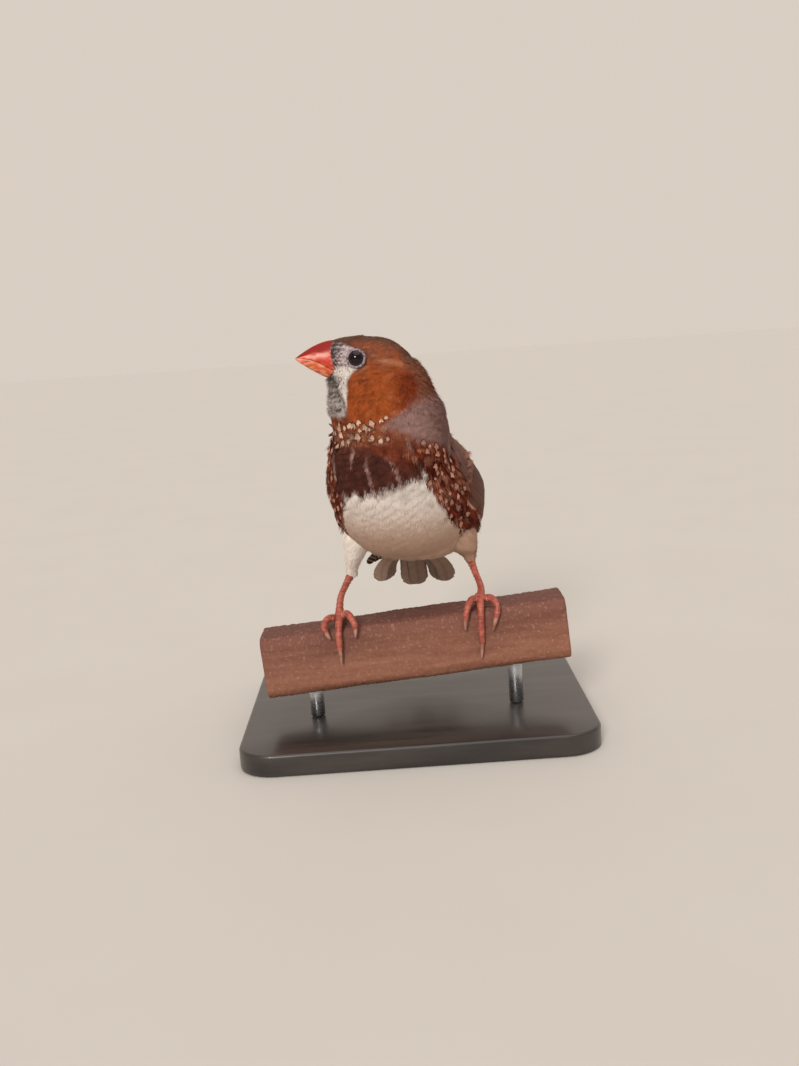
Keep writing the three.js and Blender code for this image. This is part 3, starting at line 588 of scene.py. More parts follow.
COLLAR_SPOTS = [
    (8.74, 5, 0.9), (8.58, 0, 1.3), (8.63, 10, 0.9), (8.66, 22, 1.1), (8.63, 26, 1.1), (8.72, 34, 1.1),
    (8.53, 33, 1.2), (8.61, 43, 1.2), (8.49, 26, 0.8), (8.47, 37, 0.7), (8.34, -7, 1.2), (8.28, 8, 1.35),
    (8.28, 16, 1.3), (8.13, -2, 1.0), (8.02, -14, 1.1), (8.22, 31, 1.0), (8.19, 27, 0.7), (8.12, 36, 0.9),
    (8.14, 41, 0.8), (8.72, -19, 0.9), (8.39, -23, 0.9), (7.72, -43, 1.0),
    (7.36, -66, 1.0), (7.76, -34, 1.0), (7.42, -53, 1.0), (7.21, -67, 0.9), (8.61, 54, 0.9), (8.67, 60, 0.8),
    (8.5, -33, 1.0), (8.2, -36, 1.0), (8.6, -44, 0.9), (7.95, -48, 1.0), (8.3, -50, 0.9), (7.6, -58, 1.0),
]

# %% Colours of the plumage
# The second cream, for the lower belly, is painted shade, warmed as painted light bounced up from the batten.
CREAM, SHADED_LOW_CREAM = colour("e0d4cb"), colour("caaa94")
MANTLE, BACK = colour("917069"), colour("785850")
CHEEK_LOW, CHEEK_HIGH, CHEEK_BACK = colour("a04f24"), colour("92533a"), colour("702c14")
FLANK, FLANK_DARK = colour("853822"), colour("44170c")
BAND, BAND_WARM = colour("40221b"), colour("5d3228")
CHESTNUT = colour("7a3a26")
THROAT_PALE, THROAT_DARK = colour("dccfc7"), colour("43342f")
LORES, LORES_DARK = colour("e2cecd"), colour("4a3836")
STRIPE_PALE = colour("f5e9e1")
CROWN_BROWN, NAPE = colour("6c4a3b"), colour("7d4c38")
LOWER_THROAT = colour("8c4c2f")
BLACK_BAR, WHITE_BAR = colour("2a2220"), colour("d9d0c6")


def blend(under, over, share):
    """One colour laid over another by a share for each point."""
    return under + (over - under) * np.asarray(share)[..., None]


def split_mask(t, own):
    """Pale shafts: 1 near any of the short lines in SPLITS, by distance in rough millimetres."""
    mask = np.zeros(np.shape(t))
    ring, degree = 8.5, 0.3  # millimetres to one ring and to one degree on the breast
    for t0, own0, t1, own1, wide in SPLITS:
        way = np.array([(t1 - t0) * ring, (own1 - own0) * degree])
        away = np.stack([(t - t0) * ring, (own - own0) * degree], -1)
        share = np.clip(away @ way / (way @ way), 0, 1)
        distance = np.linalg.norm(away - share[..., None] * way, axis=-1)
        mask = np.maximum(mask, 1 - step_smoothly(distance, wide * 0.35, wide))
    return mask


def cheek_colours(points, f, up):
    """Orange-brown: brightest low in front, browner above, redder in the back lobe, with streaks that
    run back and down as the feathers do."""
    lie = np.stack([f * 0.3, points @ HEAD_LEFT, up + 0.35 * f], -1)
    streak = wobble(lie, 0.9, 24)
    height = np.clip((up - 65) / 8 + 0.2 * wobble(points, 5, 23), 0, 1)
    orange = blend(CHEEK_LOW, CHEEK_HIGH, height)
    lobe = step_smoothly(-f, 0.5, 6.5) * (1 - step_smoothly(up, 65, 69))
    orange = blend(orange, CHEEK_BACK, 0.95 * lobe)
    orange = orange * (1 + 0.2 * streak + 0.12 * wobble(points, 3.5, 30))[..., None]
    pale = step_smoothly(wobble(lie, 1.6, 25), 0.9, 1.6)
    behind_eye = bell((up - 0.2 * f, 70.2, 0.7)) * step_smoothly(-f, -2.5, 1) * (f > -6)
    return blend(orange, colour("c58a66"), np.clip(0.3 * pale + 0.55 * behind_eye, 0, 1))


def face_colours(points, f, up):
    """Lores with fine dark mottles, a barred throat under them, the white wedge and its dark line."""
    mottle = wobble(points, 0.75, 26)
    near_bill = bell((np.maximum(bill_ratio(points)[1], 1), 1, 0.35))
    dark = step_smoothly(mottle + 1.5 * near_bill - 0.35, 0.25, 1.0)
    lores = blend(LORES, LORES_DARK, dark * (0.6 + 0.3 * near_bill))
    bars = np.sin(2 * np.pi * (up + 0.55 * wobble(points, 3.4, 27)) / 1.25)
    barred = step_smoothly(bars + 0.7 * wobble(points, 0.9, 28), 0.1, 0.9)
    throat = blend(THROAT_PALE, THROAT_DARK, barred * 0.8)
    front = blend(lores, throat, step_smoothly(-up, -67.5, -65.8))
    stripe = STRIPE_PALE * (1 - 0.16 * step_smoothly(mottle, 0.4, 1.2))[..., None]
    front = blend(front, stripe, inside(f + 0.15 * mottle, up + 0.2 * mottle, STRIPE, 0.3))
    line = bell((f, np.interp(up, LINE_UP, LINE_AT), 0.28))
    line = line * step_smoothly(up, 58.2, 59.2) * (1 - step_smoothly(up, 68, 70)) * (0.75 + 0.25 * mottle)
    front = blend(front, THROAT_DARK, np.clip(0.85 * line, 0, 1))
    forehead = step_smoothly(up + 0.3 * mottle, 74.6, 76.0)
    brown = blend(CROWN_BROWN, colour("8a4a38"), step_smoothly(-f, -9, -6.5))
    return blend(front, brown * (1 + 0.25 * mottle)[..., None], 0.85 * forehead)


def head_colours(points):
    """The head and throat: nape, crown, cheek and face."""
    f, aside, up = head_place(points)
    rough, scaly = wobble(points, 2.6, 21) * 0.35, wobble(points, 1.1, 22)
    shade = blend(NAPE, MANTLE, step_smoothly(-up, -62.5, -57))
    shade = shade * (1 + 0.09 * scaly)[..., None]
    crown_half = np.interp(f, CROWN_AT, CROWN_HALF) + rough
    crown = (1 - step_smoothly(aside, crown_half - 1.2, crown_half + 1.2)) * step_smoothly(up, 68, 71)
    soft = np.interp(f, [-7, -2, 4, 7], [1.5, 1.2, 0.7, 0.35])
    ragged = wobble(np.stack([f * 0.35, points @ HEAD_LEFT, up + 0.35 * f], -1), 1.1, 29)
    cheek = inside(f + rough * 0.5, up + 0.3 * ragged * soft, CHEEK, soft)
    shade = blend(shade, CROWN_BROWN * (1 + 0.22 * scaly)[..., None], crown)
    shade = blend(shade, cheek_colours(points, f, up), cheek)
    past = f - np.interp(up, FACE_UP, FACE_EDGE) - 0.3 * rough
    face = step_smoothly(past, -0.3, 0.3) * step_smoothly(up + 0.5 * scaly, 55.6, 57.0)
    return blend(shade, face_colours(points, f, up), face)


def breast_colours(t, own, rough, band_low):
    """The dark band with its pale shafts, greyer at its lower corner, and the chestnut above it with
    painted shade in a hollow beside the flank."""
    grey = step_smoothly(np.abs(own), 30, 42) * (1 - step_smoothly(t, band_low, band_low + 0.22))
    dark = blend(BAND, BAND_WARM, np.clip(0.4 + 0.4 * rough, 0, 1))
    dark = blend(dark, MANTLE, 0.25 * grey * (own > 0))
    dark = blend(dark, colour("a07d76"), 0.85 * split_mask(t, own))
    # Painted shade: a dark patch in the hollow where the breast meets the flank.
    hollow_shade = bell((t, 7.54, 0.17), (own, 46.5, 8))
    chest = blend(CHESTNUT, FLANK_DARK, np.clip(0.1 + 0.45 * rough + 1.3 * hollow_shade, 0, 1))
    band_high = np.interp(own, BAND_HIGH_AT, BAND_HIGH) + 0.05 * rough
    return blend(chest, dark, 1 - step_smoothly(t, band_high - 0.16, band_high + 0.08))


def plumage(t, angle):
    """The colour of the plumage at a place of the body, in linear light."""
    points = body(t, angle)
    own = own_angle(t, angle)
    aside = np.abs(own)
    rough, fine = wobble(points, 3.2, 11), wobble(points, 1.2, 12)
    # Darker and warmer towards the bottom of the belly: painted shade with a warm painted bounce light.
    shade = blend(CREAM, SHADED_LOW_CREAM, step_smoothly(-points[..., 2], -35, -21))
    shade = shade * (1 + 0.02 * rough)[..., None]
    back = blend(MANTLE, BACK, step_smoothly(-t, -7.6, -6.4))
    # The bird's left half of the back is painted darker with BACK: painted shade on the side turned from the
    # key light.
    back = blend(back, BACK, 0.8 * step_smoothly(own, 78, 100)) * (1 + 0.05 * fine)[..., None]
    flank_edge = np.interp(t, FLANK_AT, FLANK_EDGE) + 2.2 * rough + 1.2 * fine
    flank_top = np.interp(aside, FLANK_TOP_AT, FLANK_TOP) + 0.05 * rough
    wing_edge = np.interp(t, WING_EDGE_AT, WING_EDGE)
    on_back = np.maximum(step_smoothly(aside - wing_edge, 0, 8), step_smoothly(t - flank_top, -0.04, 0.14))
    rump = step_smoothly(aside, 120, 140) * step_smoothly(-t, -3.4, -2.9)
    flank = step_smoothly(aside, flank_edge - 2, flank_edge + 2) * step_smoothly(t, 3.75, 4.0)
    streaks = step_smoothly(wobble(points * [1, 1, 0.45], 1.9, 13) + 0.3, -0.7, 1.1)
    red = blend(FLANK, FLANK_DARK, streaks)
    shade = blend(shade, red, flank)
    band_low = np.interp(own, BAND_LOW_AT, BAND_LOW) + 0.05 * rough + 0.03 * fine
    band = step_smoothly(t, band_low - 0.05, band_low + 0.04) * (1 - step_smoothly(aside, 46, 56))
    shade = blend(shade, breast_colours(t, own, rough, band_low), band)
    smudge = bell((t, 6.88, 0.07), (own, 20, 5)) + 0.8 * bell((t, 6.93, 0.06), (own, 39, 4))
    shade = blend(shade, colour("8b7f7a"), np.clip(0.5 * smudge, 0, 1))
    nick = bell((t, 6.57, 0.05), (own, 35.5, 2.2))
    shade = blend(shade, colour("8a3f2c"), np.clip(0.7 * nick, 0, 1))
    shade = blend(shade, back, on_back)
    shade = blend(shade, CREAM, rump)
    low_throat = blend(LOWER_THROAT, CHEEK_LOW, step_smoothly(t, 8.45, 8.8))
    low_throat = blend(low_throat, CHESTNUT, np.clip(0.35 - 0.5 * rough, 0, 0.8))
    low_throat = low_throat * (1 + 0.12 * fine)[..., None]
    low_edge = np.interp(t, [8.0, 8.4, 8.7, 9.2], [62, 50, 62, 66])
    throat_part = step_smoothly(t, 7.96, 8.14) * (1 - step_smoothly(aside, low_edge - 6, low_edge + 6))
    shade = blend(shade, low_throat, throat_part)
    head = step_smoothly(points[..., 2] + 0.6 * rough, 55.2, 57.6)
    head = np.maximum(head, step_smoothly(t, 8.8, 9.1) * step_smoothly(aside, 62, 76))
    f, _, up = head_place(points)
    head = np.maximum(head, inside(f, up, CHEEK, 0.7) * (t > 8.3))
    return blend(shade, head_colours(points), head)


sample = plumage(np.array([6.4, 7.5]), np.array([0.0, -30.0]))
print("belly and band in linear light:", sample.round(2).tolist())

# %% [markdown]
# ## How feathers lie
# Small feathers grow in rows with their tips towards the tail, and on the head they part at the bill
# and run back over crown and cheeks. To spread roots evenly we measure how much skin each cell of a
# fine net holds and walk through that sum in golden-ratio steps, which never crowd two roots.


# %% Spreading roots over a surface
GOLDEN = 1.32471795724  # the golden ratio's partner for two directions


def spread_roots(surface, count, weight, t_range, a_range=(-180, 180), cells=(240, 180)):
    """Places t and angle, and each root's place on an even map of the skin. Counts of skin area
    times a weight are summed along t, then along the angle in each strip, and both sums are read
    backwards at evenly spread numbers."""
    t_edges = np.linspace(*t_range, cells[0] + 1)
    a_edges = np.linspace(*a_range, cells[1] + 1)
    t_mid, a_mid = (t_edges[1:] + t_edges[:-1]) / 2, (a_edges[1:] + a_edges[:-1]) / 2
    net_t, net_a = np.meshgrid(t_mid, a_mid, indexing="ij")
    _, slope_t, slope_a, _ = surface_frame(surface, net_t, net_a)
    area = np.linalg.norm(np.cross(slope_t, slope_a), axis=-1) * np.maximum(weight(net_t, net_a), 1e-9)
    strips = np.concatenate([[0], np.cumsum(area.sum(1))]) / area.sum()
    along = np.concatenate([np.zeros((cells[0], 1)), np.cumsum(area, 1)], 1)
    along = along / along[:, -1:] + np.arange(cells[0])[:, None]
    number = np.arange(count)
    x, y = (number / GOLDEN) % 1, (number / GOLDEN**2) % 1
    t = np.interp(x, strips, t_edges)
    strip = np.clip(np.searchsorted(strips, x, side="right") - 1, 0, cells[0] - 1)
    angle = np.interp(y + strip, along.ravel(), np.tile(a_edges, cells[0]))
    return t, angle, np.stack([y, x], -1)


def body_lie(points, normals, slope_t, t):
    """The way that feathers lie: towards the tail, and on the head away from the bill."""
    tailward = -unit(slope_t)
    away = unit(points - BEAK_ROOT)
    away = away - normals * (away * normals).sum(-1, keepdims=True)
    on_head = step_smoothly(t, 9.3, 10.6)[..., None]
    behind = step_smoothly((points - HEAD_AXIS) @ HEAD_AHEAD, 6, -4)[..., None]
    return unit(away * on_head + tailward * (1 - on_head + 0.3 * behind))


# %% [markdown]
# ## One small feather
# A body feather is a soft blade of barbs that part at its tip. Here it is a fan of a few narrow
# strips, each a closed three-sided sliver with a ridge, side by side at the base and free at the
# end. A strip costs ten triangles, so a hundred thousand of them are still a light model.
# It lies on a bowl that fits the body at its root, so we never leave the arrays: the height of that
# bowl over a place u along and w across is minus half the body's bending times their squares.


# %% Laying a coat of feathers
SLOPE = 0.35  # how much a barb's own roundness turns its normal
SEEN_WIDE = 0.65  # a barb reads its colour nearer to the feather's middle than it lies


def lay_feathers(surface, t, angle, way_of, style, seed):
    """Points, faces, colour places, vane coordinates and outward directions of rooted feathers.

    Each point is root + along*u + across*w + normal*(lift - bowl), with u and w from the fan."""
    draw = np.random.default_rng(seed)
    count, barbs = len(t), style["barbs"]
    root, slope_t, slope_a, normal = surface_frame(surface, t, angle)
    along = way_of(root, normal, slope_t, t)
    swing = draw.normal(0, style.get("swing", 6), count)[:, None]
    across = np.cross(normal, along)
    along = unit(along * np.cos(np.radians(swing)) + across * np.sin(np.radians(swing)))
    across = np.cross(normal, along)
    chart = chart_steps(slope_t, slope_a, along), chart_steps(slope_t, slope_a, across)
    bowl = [bending(surface, t, angle, root, normal, way) for way in (*chart, chart[0] + chart[1])]
    bowl[2] = (bowl[2] - bowl[0] - bowl[1]) / 2
    bowl[0] = np.maximum(bowl[0], style.get("least_bend", -1))
    root, normal, along, across = (x[:, None, None] for x in (root, normal, along, across))
    bowl = [x[:, None, None] for x in bowl]

    k = np.arange(barbs)
    middle = (2 * k + 1) / barbs - 1
    length = style["length"](t, angle) * draw.uniform(0.86, 1.14, count)
    width = style["width"](t, angle) * draw.uniform(0.9, 1.1, count)
    tip = 1 - style.get("round", 0.2) * middle**2 + draw.normal(0, style.get("ragged", 0.05), (count, barbs))
    shoulder = style.get("shoulder", 0.62) * np.ones((count, barbs))
    s = np.stack([0 * tip, 0 * tip, 0 * tip, shoulder, shoulder, shoulder, tip], -1)
    half, waist = 1 / barbs, style.get("waist", 0.5)
    tip_v = middle * 0.86 + draw.normal(0, half * 0.7, (count, barbs))
    narrow = [waist * middle + waist * half * side for side in (-1, 1)]
    fan = np.stack([*narrow, waist * middle, middle - half, middle + half, middle], -1)
    v = np.concatenate([np.broadcast_to(fan, (count, barbs, 6)), tip_v[..., None]], -1)
    u = s * length[:, None, None]
    w = v * width[:, None, None]
    low, high = style["lift"]
    lift = low + (high - low) * s - style.get("arch", 0.1) * v**2 * s
    lift = lift + draw.normal(0, style.get("loose", 0.03), (count, barbs))[..., None] * s
    lift = lift + draw.normal(0, style.get("proud", 0.02), count)[:, None, None] * s
    lift[..., [2, 5]] += style.get("thick", 0.06)
    if "stand" in style:
        lift = lift + style["stand"](t, angle)[:, None, None] * s**1.5
    sag = 0.5 * (bowl[0] * u**2 + bowl[1] * w**2) + bowl[2] * u * w
    points = root + along * u[..., None] + across * w[..., None] + normal * (lift - sag)[..., None]
    barb_side = np.array([-1, 1, 0, -1, 1, 0, 0]) * SLOPE
    out = normal + along * (bowl[0] * u + bowl[2] * w)[..., None]
    out = unit(out + across * (bowl[1] * w + bowl[2] * u + barb_side)[..., None])

    one = np.arange(count * barbs)[:, None] * 7
    quads = (one[:, None] + np.array([[0, 1, 4, 3], [0, 3, 5, 2], [1, 2, 5, 4]])).reshape(-1, 4)
    fans = (one[:, None] + np.array([[0, 2, 1], [3, 4, 6], [3, 6, 5], [4, 5, 6]])).reshape(-1, 3)
    seen_u = np.stack([0.5 * tip, tip], -1) * length[:, None, None]
    seen_w = SEEN_WIDE * (width[:, None] * middle)[..., None] + 0 * seen_u
    seen_t = t[:, None, None] + chart[0][:, :1, None] * seen_u + chart[1][:, :1, None] * seen_w
    seen_a = angle[:, None, None] + chart[0][:, 1:, None] * seen_u + chart[1][:, 1:, None] * seen_w
    vane = np.stack([v, s, np.broadcast_to(draw.uniform(size=count)[:, None, None], s.shape)], -1)
    return points, [quads, fans], (seen_t, seen_a), vane, out


def chart_steps(slope_t, slope_a, way):
    """How t and the angle change for one millimetre along a tangent direction."""
    tt, aa = (slope_t**2).sum(-1), (slope_a**2).sum(-1)
    ta = (slope_t * slope_a).sum(-1)
    x, y = (slope_t * way).sum(-1), (slope_a * way).sum(-1)
    size = np.maximum(tt * aa - ta**2, 1e-9)
    return np.stack([(aa * x - ta * y) / size, (tt * y - ta * x) / size], -1)


def bending(surface, t, angle, root, normal, step):
    """The surface's bending along a chart step of one millimetre: how far the mean of the points
    before and behind falls under the root, times 2, over the square of the distance walked."""
    longest = np.array([0.2, 25]) / np.maximum(np.abs(step), 1e-9)
    walk = np.minimum(1, longest.min(-1))
    ahead = surface(t + step[:, 0] * walk, angle + step[:, 1] * walk)
    behind = surface(t - step[:, 0] * walk, angle - step[:, 1] * walk)
    drop = 2 * root - ahead - behind
    return np.clip((drop * normal).sum(-1) / walk**2, -0.05, 0.3)


# %% What hides a root
def is_covered(t, angle, points):
    """True where a feather's root lies under the wing, in a thigh, in an eye or in the bill."""
    aside = np.abs((angle + 180) % 360 - 180)
    edge = np.interp(t, [2.9, 4.2, 4.4, 5.2, 5.5, 7.1], [98, 94, 106, 104, 92, 106])
    top = np.interp(t, [2.9, 5, 7.1], [146, 150, 128])
    covered = (t > 3.1) & (t < 7.0) & (aside > edge) & (aside < top)
    for seat, _ in EYE_SEATS:
        covered |= np.linalg.norm(points - seat, axis=-1) < EYE["bare"]
    ahead, ratio = bill_ratio(points)
    covered |= (ahead > -4) & (ratio < 0.86)
    for rings in THIGHS.values():
        centres = np.array([r[0] for r in rings[2:]], float)
        sizes = np.array([r[1:] for r in rings[2:]], float)
        place = np.clip((points[..., 2] - centres[0, 2]) / (centres[-1, 2] - centres[0, 2]) * 3, 0, 3)
        away = (points - through(centres, place))[..., :2] / through(sizes, place)
        within = (away**2).sum(-1) < 0.7
        covered |= within & (points[..., 2] > centres[0, 2]) & (points[..., 2] < 25)
    return covered


# %% [markdown]
# ## Feather materials
# All the plumage shares two materials. The colour comes with each barb. One node group adds what a
# feather does within itself: fine barb lines and a darker base, partly grey down and partly painted
# shade of the coat's deeper layers. It reads the vane's own coordinates: across it, along it, and one
# random number. A second group makes a coat look soft.
# Light goes into real plumage and comes out of the whole coat, so each barb is lit less by its own
# small face than by the direction of the body under it, which every point carries as `outward`.

# %% Node groups of the feathers
group, given, result = new_group(
    "barb_lines",
    {"Vane": "Vector", "Fineness": "Float", "Strength": "Float"},
    {"Shade": "Float", "Height": "Float"},
)
part = add_node(group, "ShaderNodeSeparateXYZ", _0=given["Vane"]).outputs
slant = maths(group, "MULTIPLY", maths(group, "ABSOLUTE", part[0]), 0.35)
phase = maths(group, "MULTIPLY", maths(group, "SUBTRACT", part[1], slant), given["Fineness"])
wave = maths(group, "SINE", maths(group, "ADD", phase, maths(group, "MULTIPLY", part[2], 40.0)))
# Darker towards the root: partly the grey down, partly painted shade of the coat's deeper layers.
base = stepped(group, part[1], 0.0, 0.55, 0.7, 1.0)
lines = maths(group, "MULTIPLY_ADD", maths(group, "MULTIPLY", wave, given["Strength"]), 0.5, 1.0)
wire(group, result, Shade=maths(group, "MULTIPLY", base, lines), Height=wave)
BARB_LINES = group

inputs = {"Outward": "Vector", "Amount": "Float"}
group, given, result = new_group("soft_normal", inputs, {"Normal": "Vector"})
face_way = group.nodes.new("ShaderNodeNewGeometry").outputs["Normal"]
settings = {"vector_type": "NORMAL"}
turned = add_node(group, "ShaderNodeVectorTransform", settings, _0=given["Outward"]).outputs[0]
settings = {"operation": "DOT_PRODUCT"}
agree = add_node(group, "ShaderNodeVectorMath", settings, _0=face_way, _1=turned).outputs["Value"]
share = maths(group, "MULTIPLY", stepped(group, agree, 0.0, 0.3), given["Amount"])
node = add_node(group, "ShaderNodeMix", {"data_type": "VECTOR"}, _0=share, _4=face_way, _5=turned)
evened = add_node(group, "ShaderNodeVectorMath", {"operation": "NORMALIZE"}, _0=node.outputs[1]).outputs[0]
wire(group, result, Normal=evened)
SOFT_NORMAL = group


# %% The plumage materials
def feather_material(name, fineness, strength, softness, **constants):
    """Plumage: the barb's own colour, darker at its base, lit softly where the piece has `outward`."""
    material, tree, shader = new_material(name, **constants)
    vane = painted(tree, "vane", "Vector")
    hue = painted(tree, "plumage")
    lines = place_group(tree, BARB_LINES, Vane=vane, Fineness=fineness, Strength=strength)
    bump = add_node(tree, "ShaderNodeBump", Strength=0.2, Distance=0.00004, Height=lines["Height"])
    if softness:
        way = painted(tree, "outward", "Vector")
        soft = place_group(tree, SOFT_NORMAL, Outward=way, Amount=softness)
        wire(tree, bump.inputs, Normal=soft["Normal"])
    wire(tree, shader, Base_Color=shaded(tree, hue, lines["Shade"]), Normal=bump.outputs[0])
    return material


SOFT_FEATHERS = feather_material("soft_feathers", 55.0, 0.10, 0.7, Roughness=0.85, Specular_IOR_Level=0.12)
VANE_FEATHERS = feather_material("vane_feathers", 190.0, 0.16, 0.0, Roughness=0.6, Specular_IOR_Level=0.22)

# %% [markdown]
# ## The skin
# Under the feathers one skin runs from the bill to the tail and down both thighs. It lies a coat's
# depth inside the outline. Three lofts are fused by a voxel remesh, because that melts the joints of
# thighs and body into one surface, and then each point takes the colour of the plumage over it.


# %% A loft through rings, and the skin's three lofts
def loft_faces(rows, around):
    """Quads between rows of points, and a fan to one extra point at each end."""
    i, j = np.meshgrid(np.arange(rows - 1), np.arange(around), indexing="ij")
    k = (j + 1) % around
    quads = np.stack([i * around + j, i * around + k, (i + 1) * around + k, (i + 1) * around + j], -1)
    j, end = np.arange(around), (rows - 1) * around
    k = (j + 1) % around
    first = np.stack([k, j, np.full(around, rows * around)], -1)
    last = np.stack([end + j, end + k, np.full(around, rows * around + 1)], -1)
    return quads.reshape(-1, 4), np.concatenate([first, last])


def outward(points, quads, fans):
    """The faces turned over if together they enclose a negative volume."""
    corners = points[np.concatenate([quads[:, :3], quads[:, [0, 2, 3]], fans])]
    volume = (corners[:, 0] * np.cross(corners[:, 1], corners[:, 2])).sum()
    return (quads, fans) if volume > 0 else (quads[:, ::-1], fans[:, ::-1])


def loft(rows, first=None, last=None):
    """A closed surface through rows of points, shut at their middles or at two given points."""
    first = rows[0].mean(0) if first is None else first
    last = rows[-1].mean(0) if last is None else last
    points = np.concatenate([rows.reshape(-1, 3), [first, last]])
    return (points, *outward(points, *loft_faces(*rows.shape[:2])))


def loft_mesh(name, made):
    """A mesh from a loft."""
    return add_mesh(name, made[0], made[1:])


def sunk_loft(surface, t, depth, around=96):
    """The loft of a surface, pushed in along its normals by a depth for each ring."""
    net_t, net_a = np.meshgrid(t, np.arange(around) * 360 / around, indexing="ij")
    points, _, _, normal = surface_frame(surface, net_t, net_a)
    return loft(points - normal * depth[:, None, None])


def joined(parts):
    """Several lofts as one set of points and faces."""
    offsets = np.cumsum([0] + [len(p[0]) for p in parts[:-1]])
    points = np.concatenate([p[0] for p in parts])
    return points, [np.concatenate([p[i] + n for p, n in zip(parts, offsets)]) for i in (1, 2)]


SKIN_DEPTH = 0.8  # the skin's colour as a share of the plumage's, since it lies in shade
SKIN_FROM, SKIN_TO = 0.95, 11.97  # places along the spine
COAT_AT, COAT_DEEP = [0.9, 2, 4, 9, 10, 12], [0.2, 0.5, 0.95, 0.95, 0.75, 0.6]
body_t = np.linspace(SKIN_FROM, SKIN_TO, 150)
thigh_t = np.linspace(0.05, 4.9, 30)
lofts = [sunk_loft(form, body_t, np.interp(body_t, COAT_AT, COAT_DEEP))]
lofts += [sunk_loft(thigh(side), thigh_t, np.full(30, 0.7), 40) for side in THIGHS]
skin_mesh = add_mesh("skin_lofts", *joined(lofts))


# %% Fusing and colouring the skin
def fused(mesh, name, voxel):
    """The outside of all the closed surfaces in a mesh, rebuilt on a grid of small cubes."""
    holder = bpy.data.objects.new(name, mesh)
    bpy.context.scene.collection.objects.link(holder)
    remesh = holder.modifiers.new("fuse", "REMESH")
    remesh.mode, remesh.voxel_size = "VOXEL", voxel * MM
    relax = holder.modifiers.new("relax", "SMOOTH")
    relax.factor, relax.iterations = 0.5, 3
    made = bpy.data.meshes.new_from_object(holder.evaluated_get(bpy.context.evaluated_depsgraph_get()))
    made.name = name
    bpy.data.objects.remove(holder)
    bpy.data.meshes.remove(mesh)
    return made


def nearest_place(points, cells=(150, 90)):
    """t and angle of the nearest body point, by squared distances to a coarse net."""
    t, angle = np.linspace(SKIN_FROM, SKIN_TO, cells[0]), np.linspace(-180, 176, cells[1])
    net = np.meshgrid(t, angle, indexing="ij")
    net_points = form(*net).reshape(-1, 3)
    away = (net_points**2).sum(1) - 2 * points @ net_points.T
    found = away.argmin(1)
    return net[0].ravel()[found], net[1].ravel()[found]


skin_mesh = fused(skin_mesh, "skin", 0.5)
skin_points = np.empty(len(skin_mesh.vertices) * 3, np.float32)
skin_mesh.vertices.foreach_get("co", skin_points)
skin_points = skin_points.reshape(-1, 3) / MM - BIRD
skin_places = [nearest_place(p) for p in np.array_split(skin_points, 8)]
skin_t, skin_a = (np.concatenate([p[i] for p in skin_places]) for i in (0, 1))
paint_colours(skin_mesh, "plumage", plumage(skin_t, skin_a) * SKIN_DEPTH)
material, tree, shader = new_material("downy_skin", Roughness=0.9, Specular_IOR_Level=0.1)
noise = noise_on(tree, 900.0, 3.0)
hue = shaded(tree, painted(tree, "plumage"), stepped(tree, noise, 0.3, 0.7, 0.7, 1.05))
wire(tree, shader, Base_Color=hue, Normal=relief(tree, noise, 0.4, 0.0001))
add_piece(skin_mesh, material, ["torso", "neck", "head", "thigh_left", "thigh_right"])

# %% [markdown]
# ## The coats
# Each region has its own feathers: short and fine on the face, small at the throat, long and silky on
# the belly, broad with spots on the flanks, smooth on the mantle and back. A coat is a number of
# roots, a weight that says where they may grow, and a style with the feather's sizes in millimetres.


# %% One coat from roots, region and style
FEATHER_ON_MAP = [0.0013, 0.003]  # half width and length of a feather's share of the map OFBake


def shades_for(seen, style, roots, seed):
    """Each barb's colours in its middle and at its tip: the plumage there, a little lighter or darker
    by chance, and on some feathers flecked with a second colour."""
    draw = np.random.default_rng(seed + 1)
    rgb = style.get("colours", plumage)(*seen)
    feather = draw.normal(1, style.get("varied", 0.05), (len(rgb), 1, 1, 1))
    barb = draw.normal(1, style.get("streaky", 0.06), (*rgb.shape[:2], 1, 1))
    # The style's depth darkens each barb's middle, partly for the grey down and partly as painted shade of
    # the coat's deeper layers, and the style's tip makes the barb's tip a little lighter.
    rgb = np.clip(rgb * feather * barb * [[style.get("depth", 0.96)], [style.get("tip", 1.03)]], 0, 1)
    for share, fleck, strength in style.get("flecks", ()):
        hit = (draw.uniform(size=len(rgb)) < share(*roots)) * strength
        rgb = blend(rgb, colour(fleck), hit[:, None, None] * np.array([0.5, 1.0]))
    return np.concatenate([np.repeat(rgb[:, :, :1], 6, 2), rgb[:, :, 1:]], 2)


def grow_coat(name, surface, roots, way_of, style, seed, keep=None):
    """A piece of feathers on a surface, without those that are covered or outside the region."""
    t, angle, places = roots
    if keep:
        kept = keep(t, angle)
        t, angle, places = t[kept], angle[kept], places[kept]
    points, faces, seen, vane, out = lay_feathers(surface, t, angle, way_of, style, seed)
    mesh = add_mesh(name, points.reshape(-1, 3), faces)
    paint_colours(mesh, "plumage", shades_for(seen, style, (t, angle), seed))
    paint_points(mesh, "vane", "FLOAT_VECTOR", vane)
    paint_points(mesh, "outward", "FLOAT_VECTOR", out)
    add_map(mesh, (places[:, None, None] + vane[..., :2] * FEATHER_ON_MAP).reshape(-1, 2))
    print(len(t), "feathers", end=" in ")
    add_piece(mesh, SOFT_FEATHERS, smooth=False)


def constant(value):
    """A size or colour that is the same everywhere."""
    value = np.asarray(value, float)
    return lambda t, angle: np.broadcast_to(value, (*np.shape(t), *value.shape))


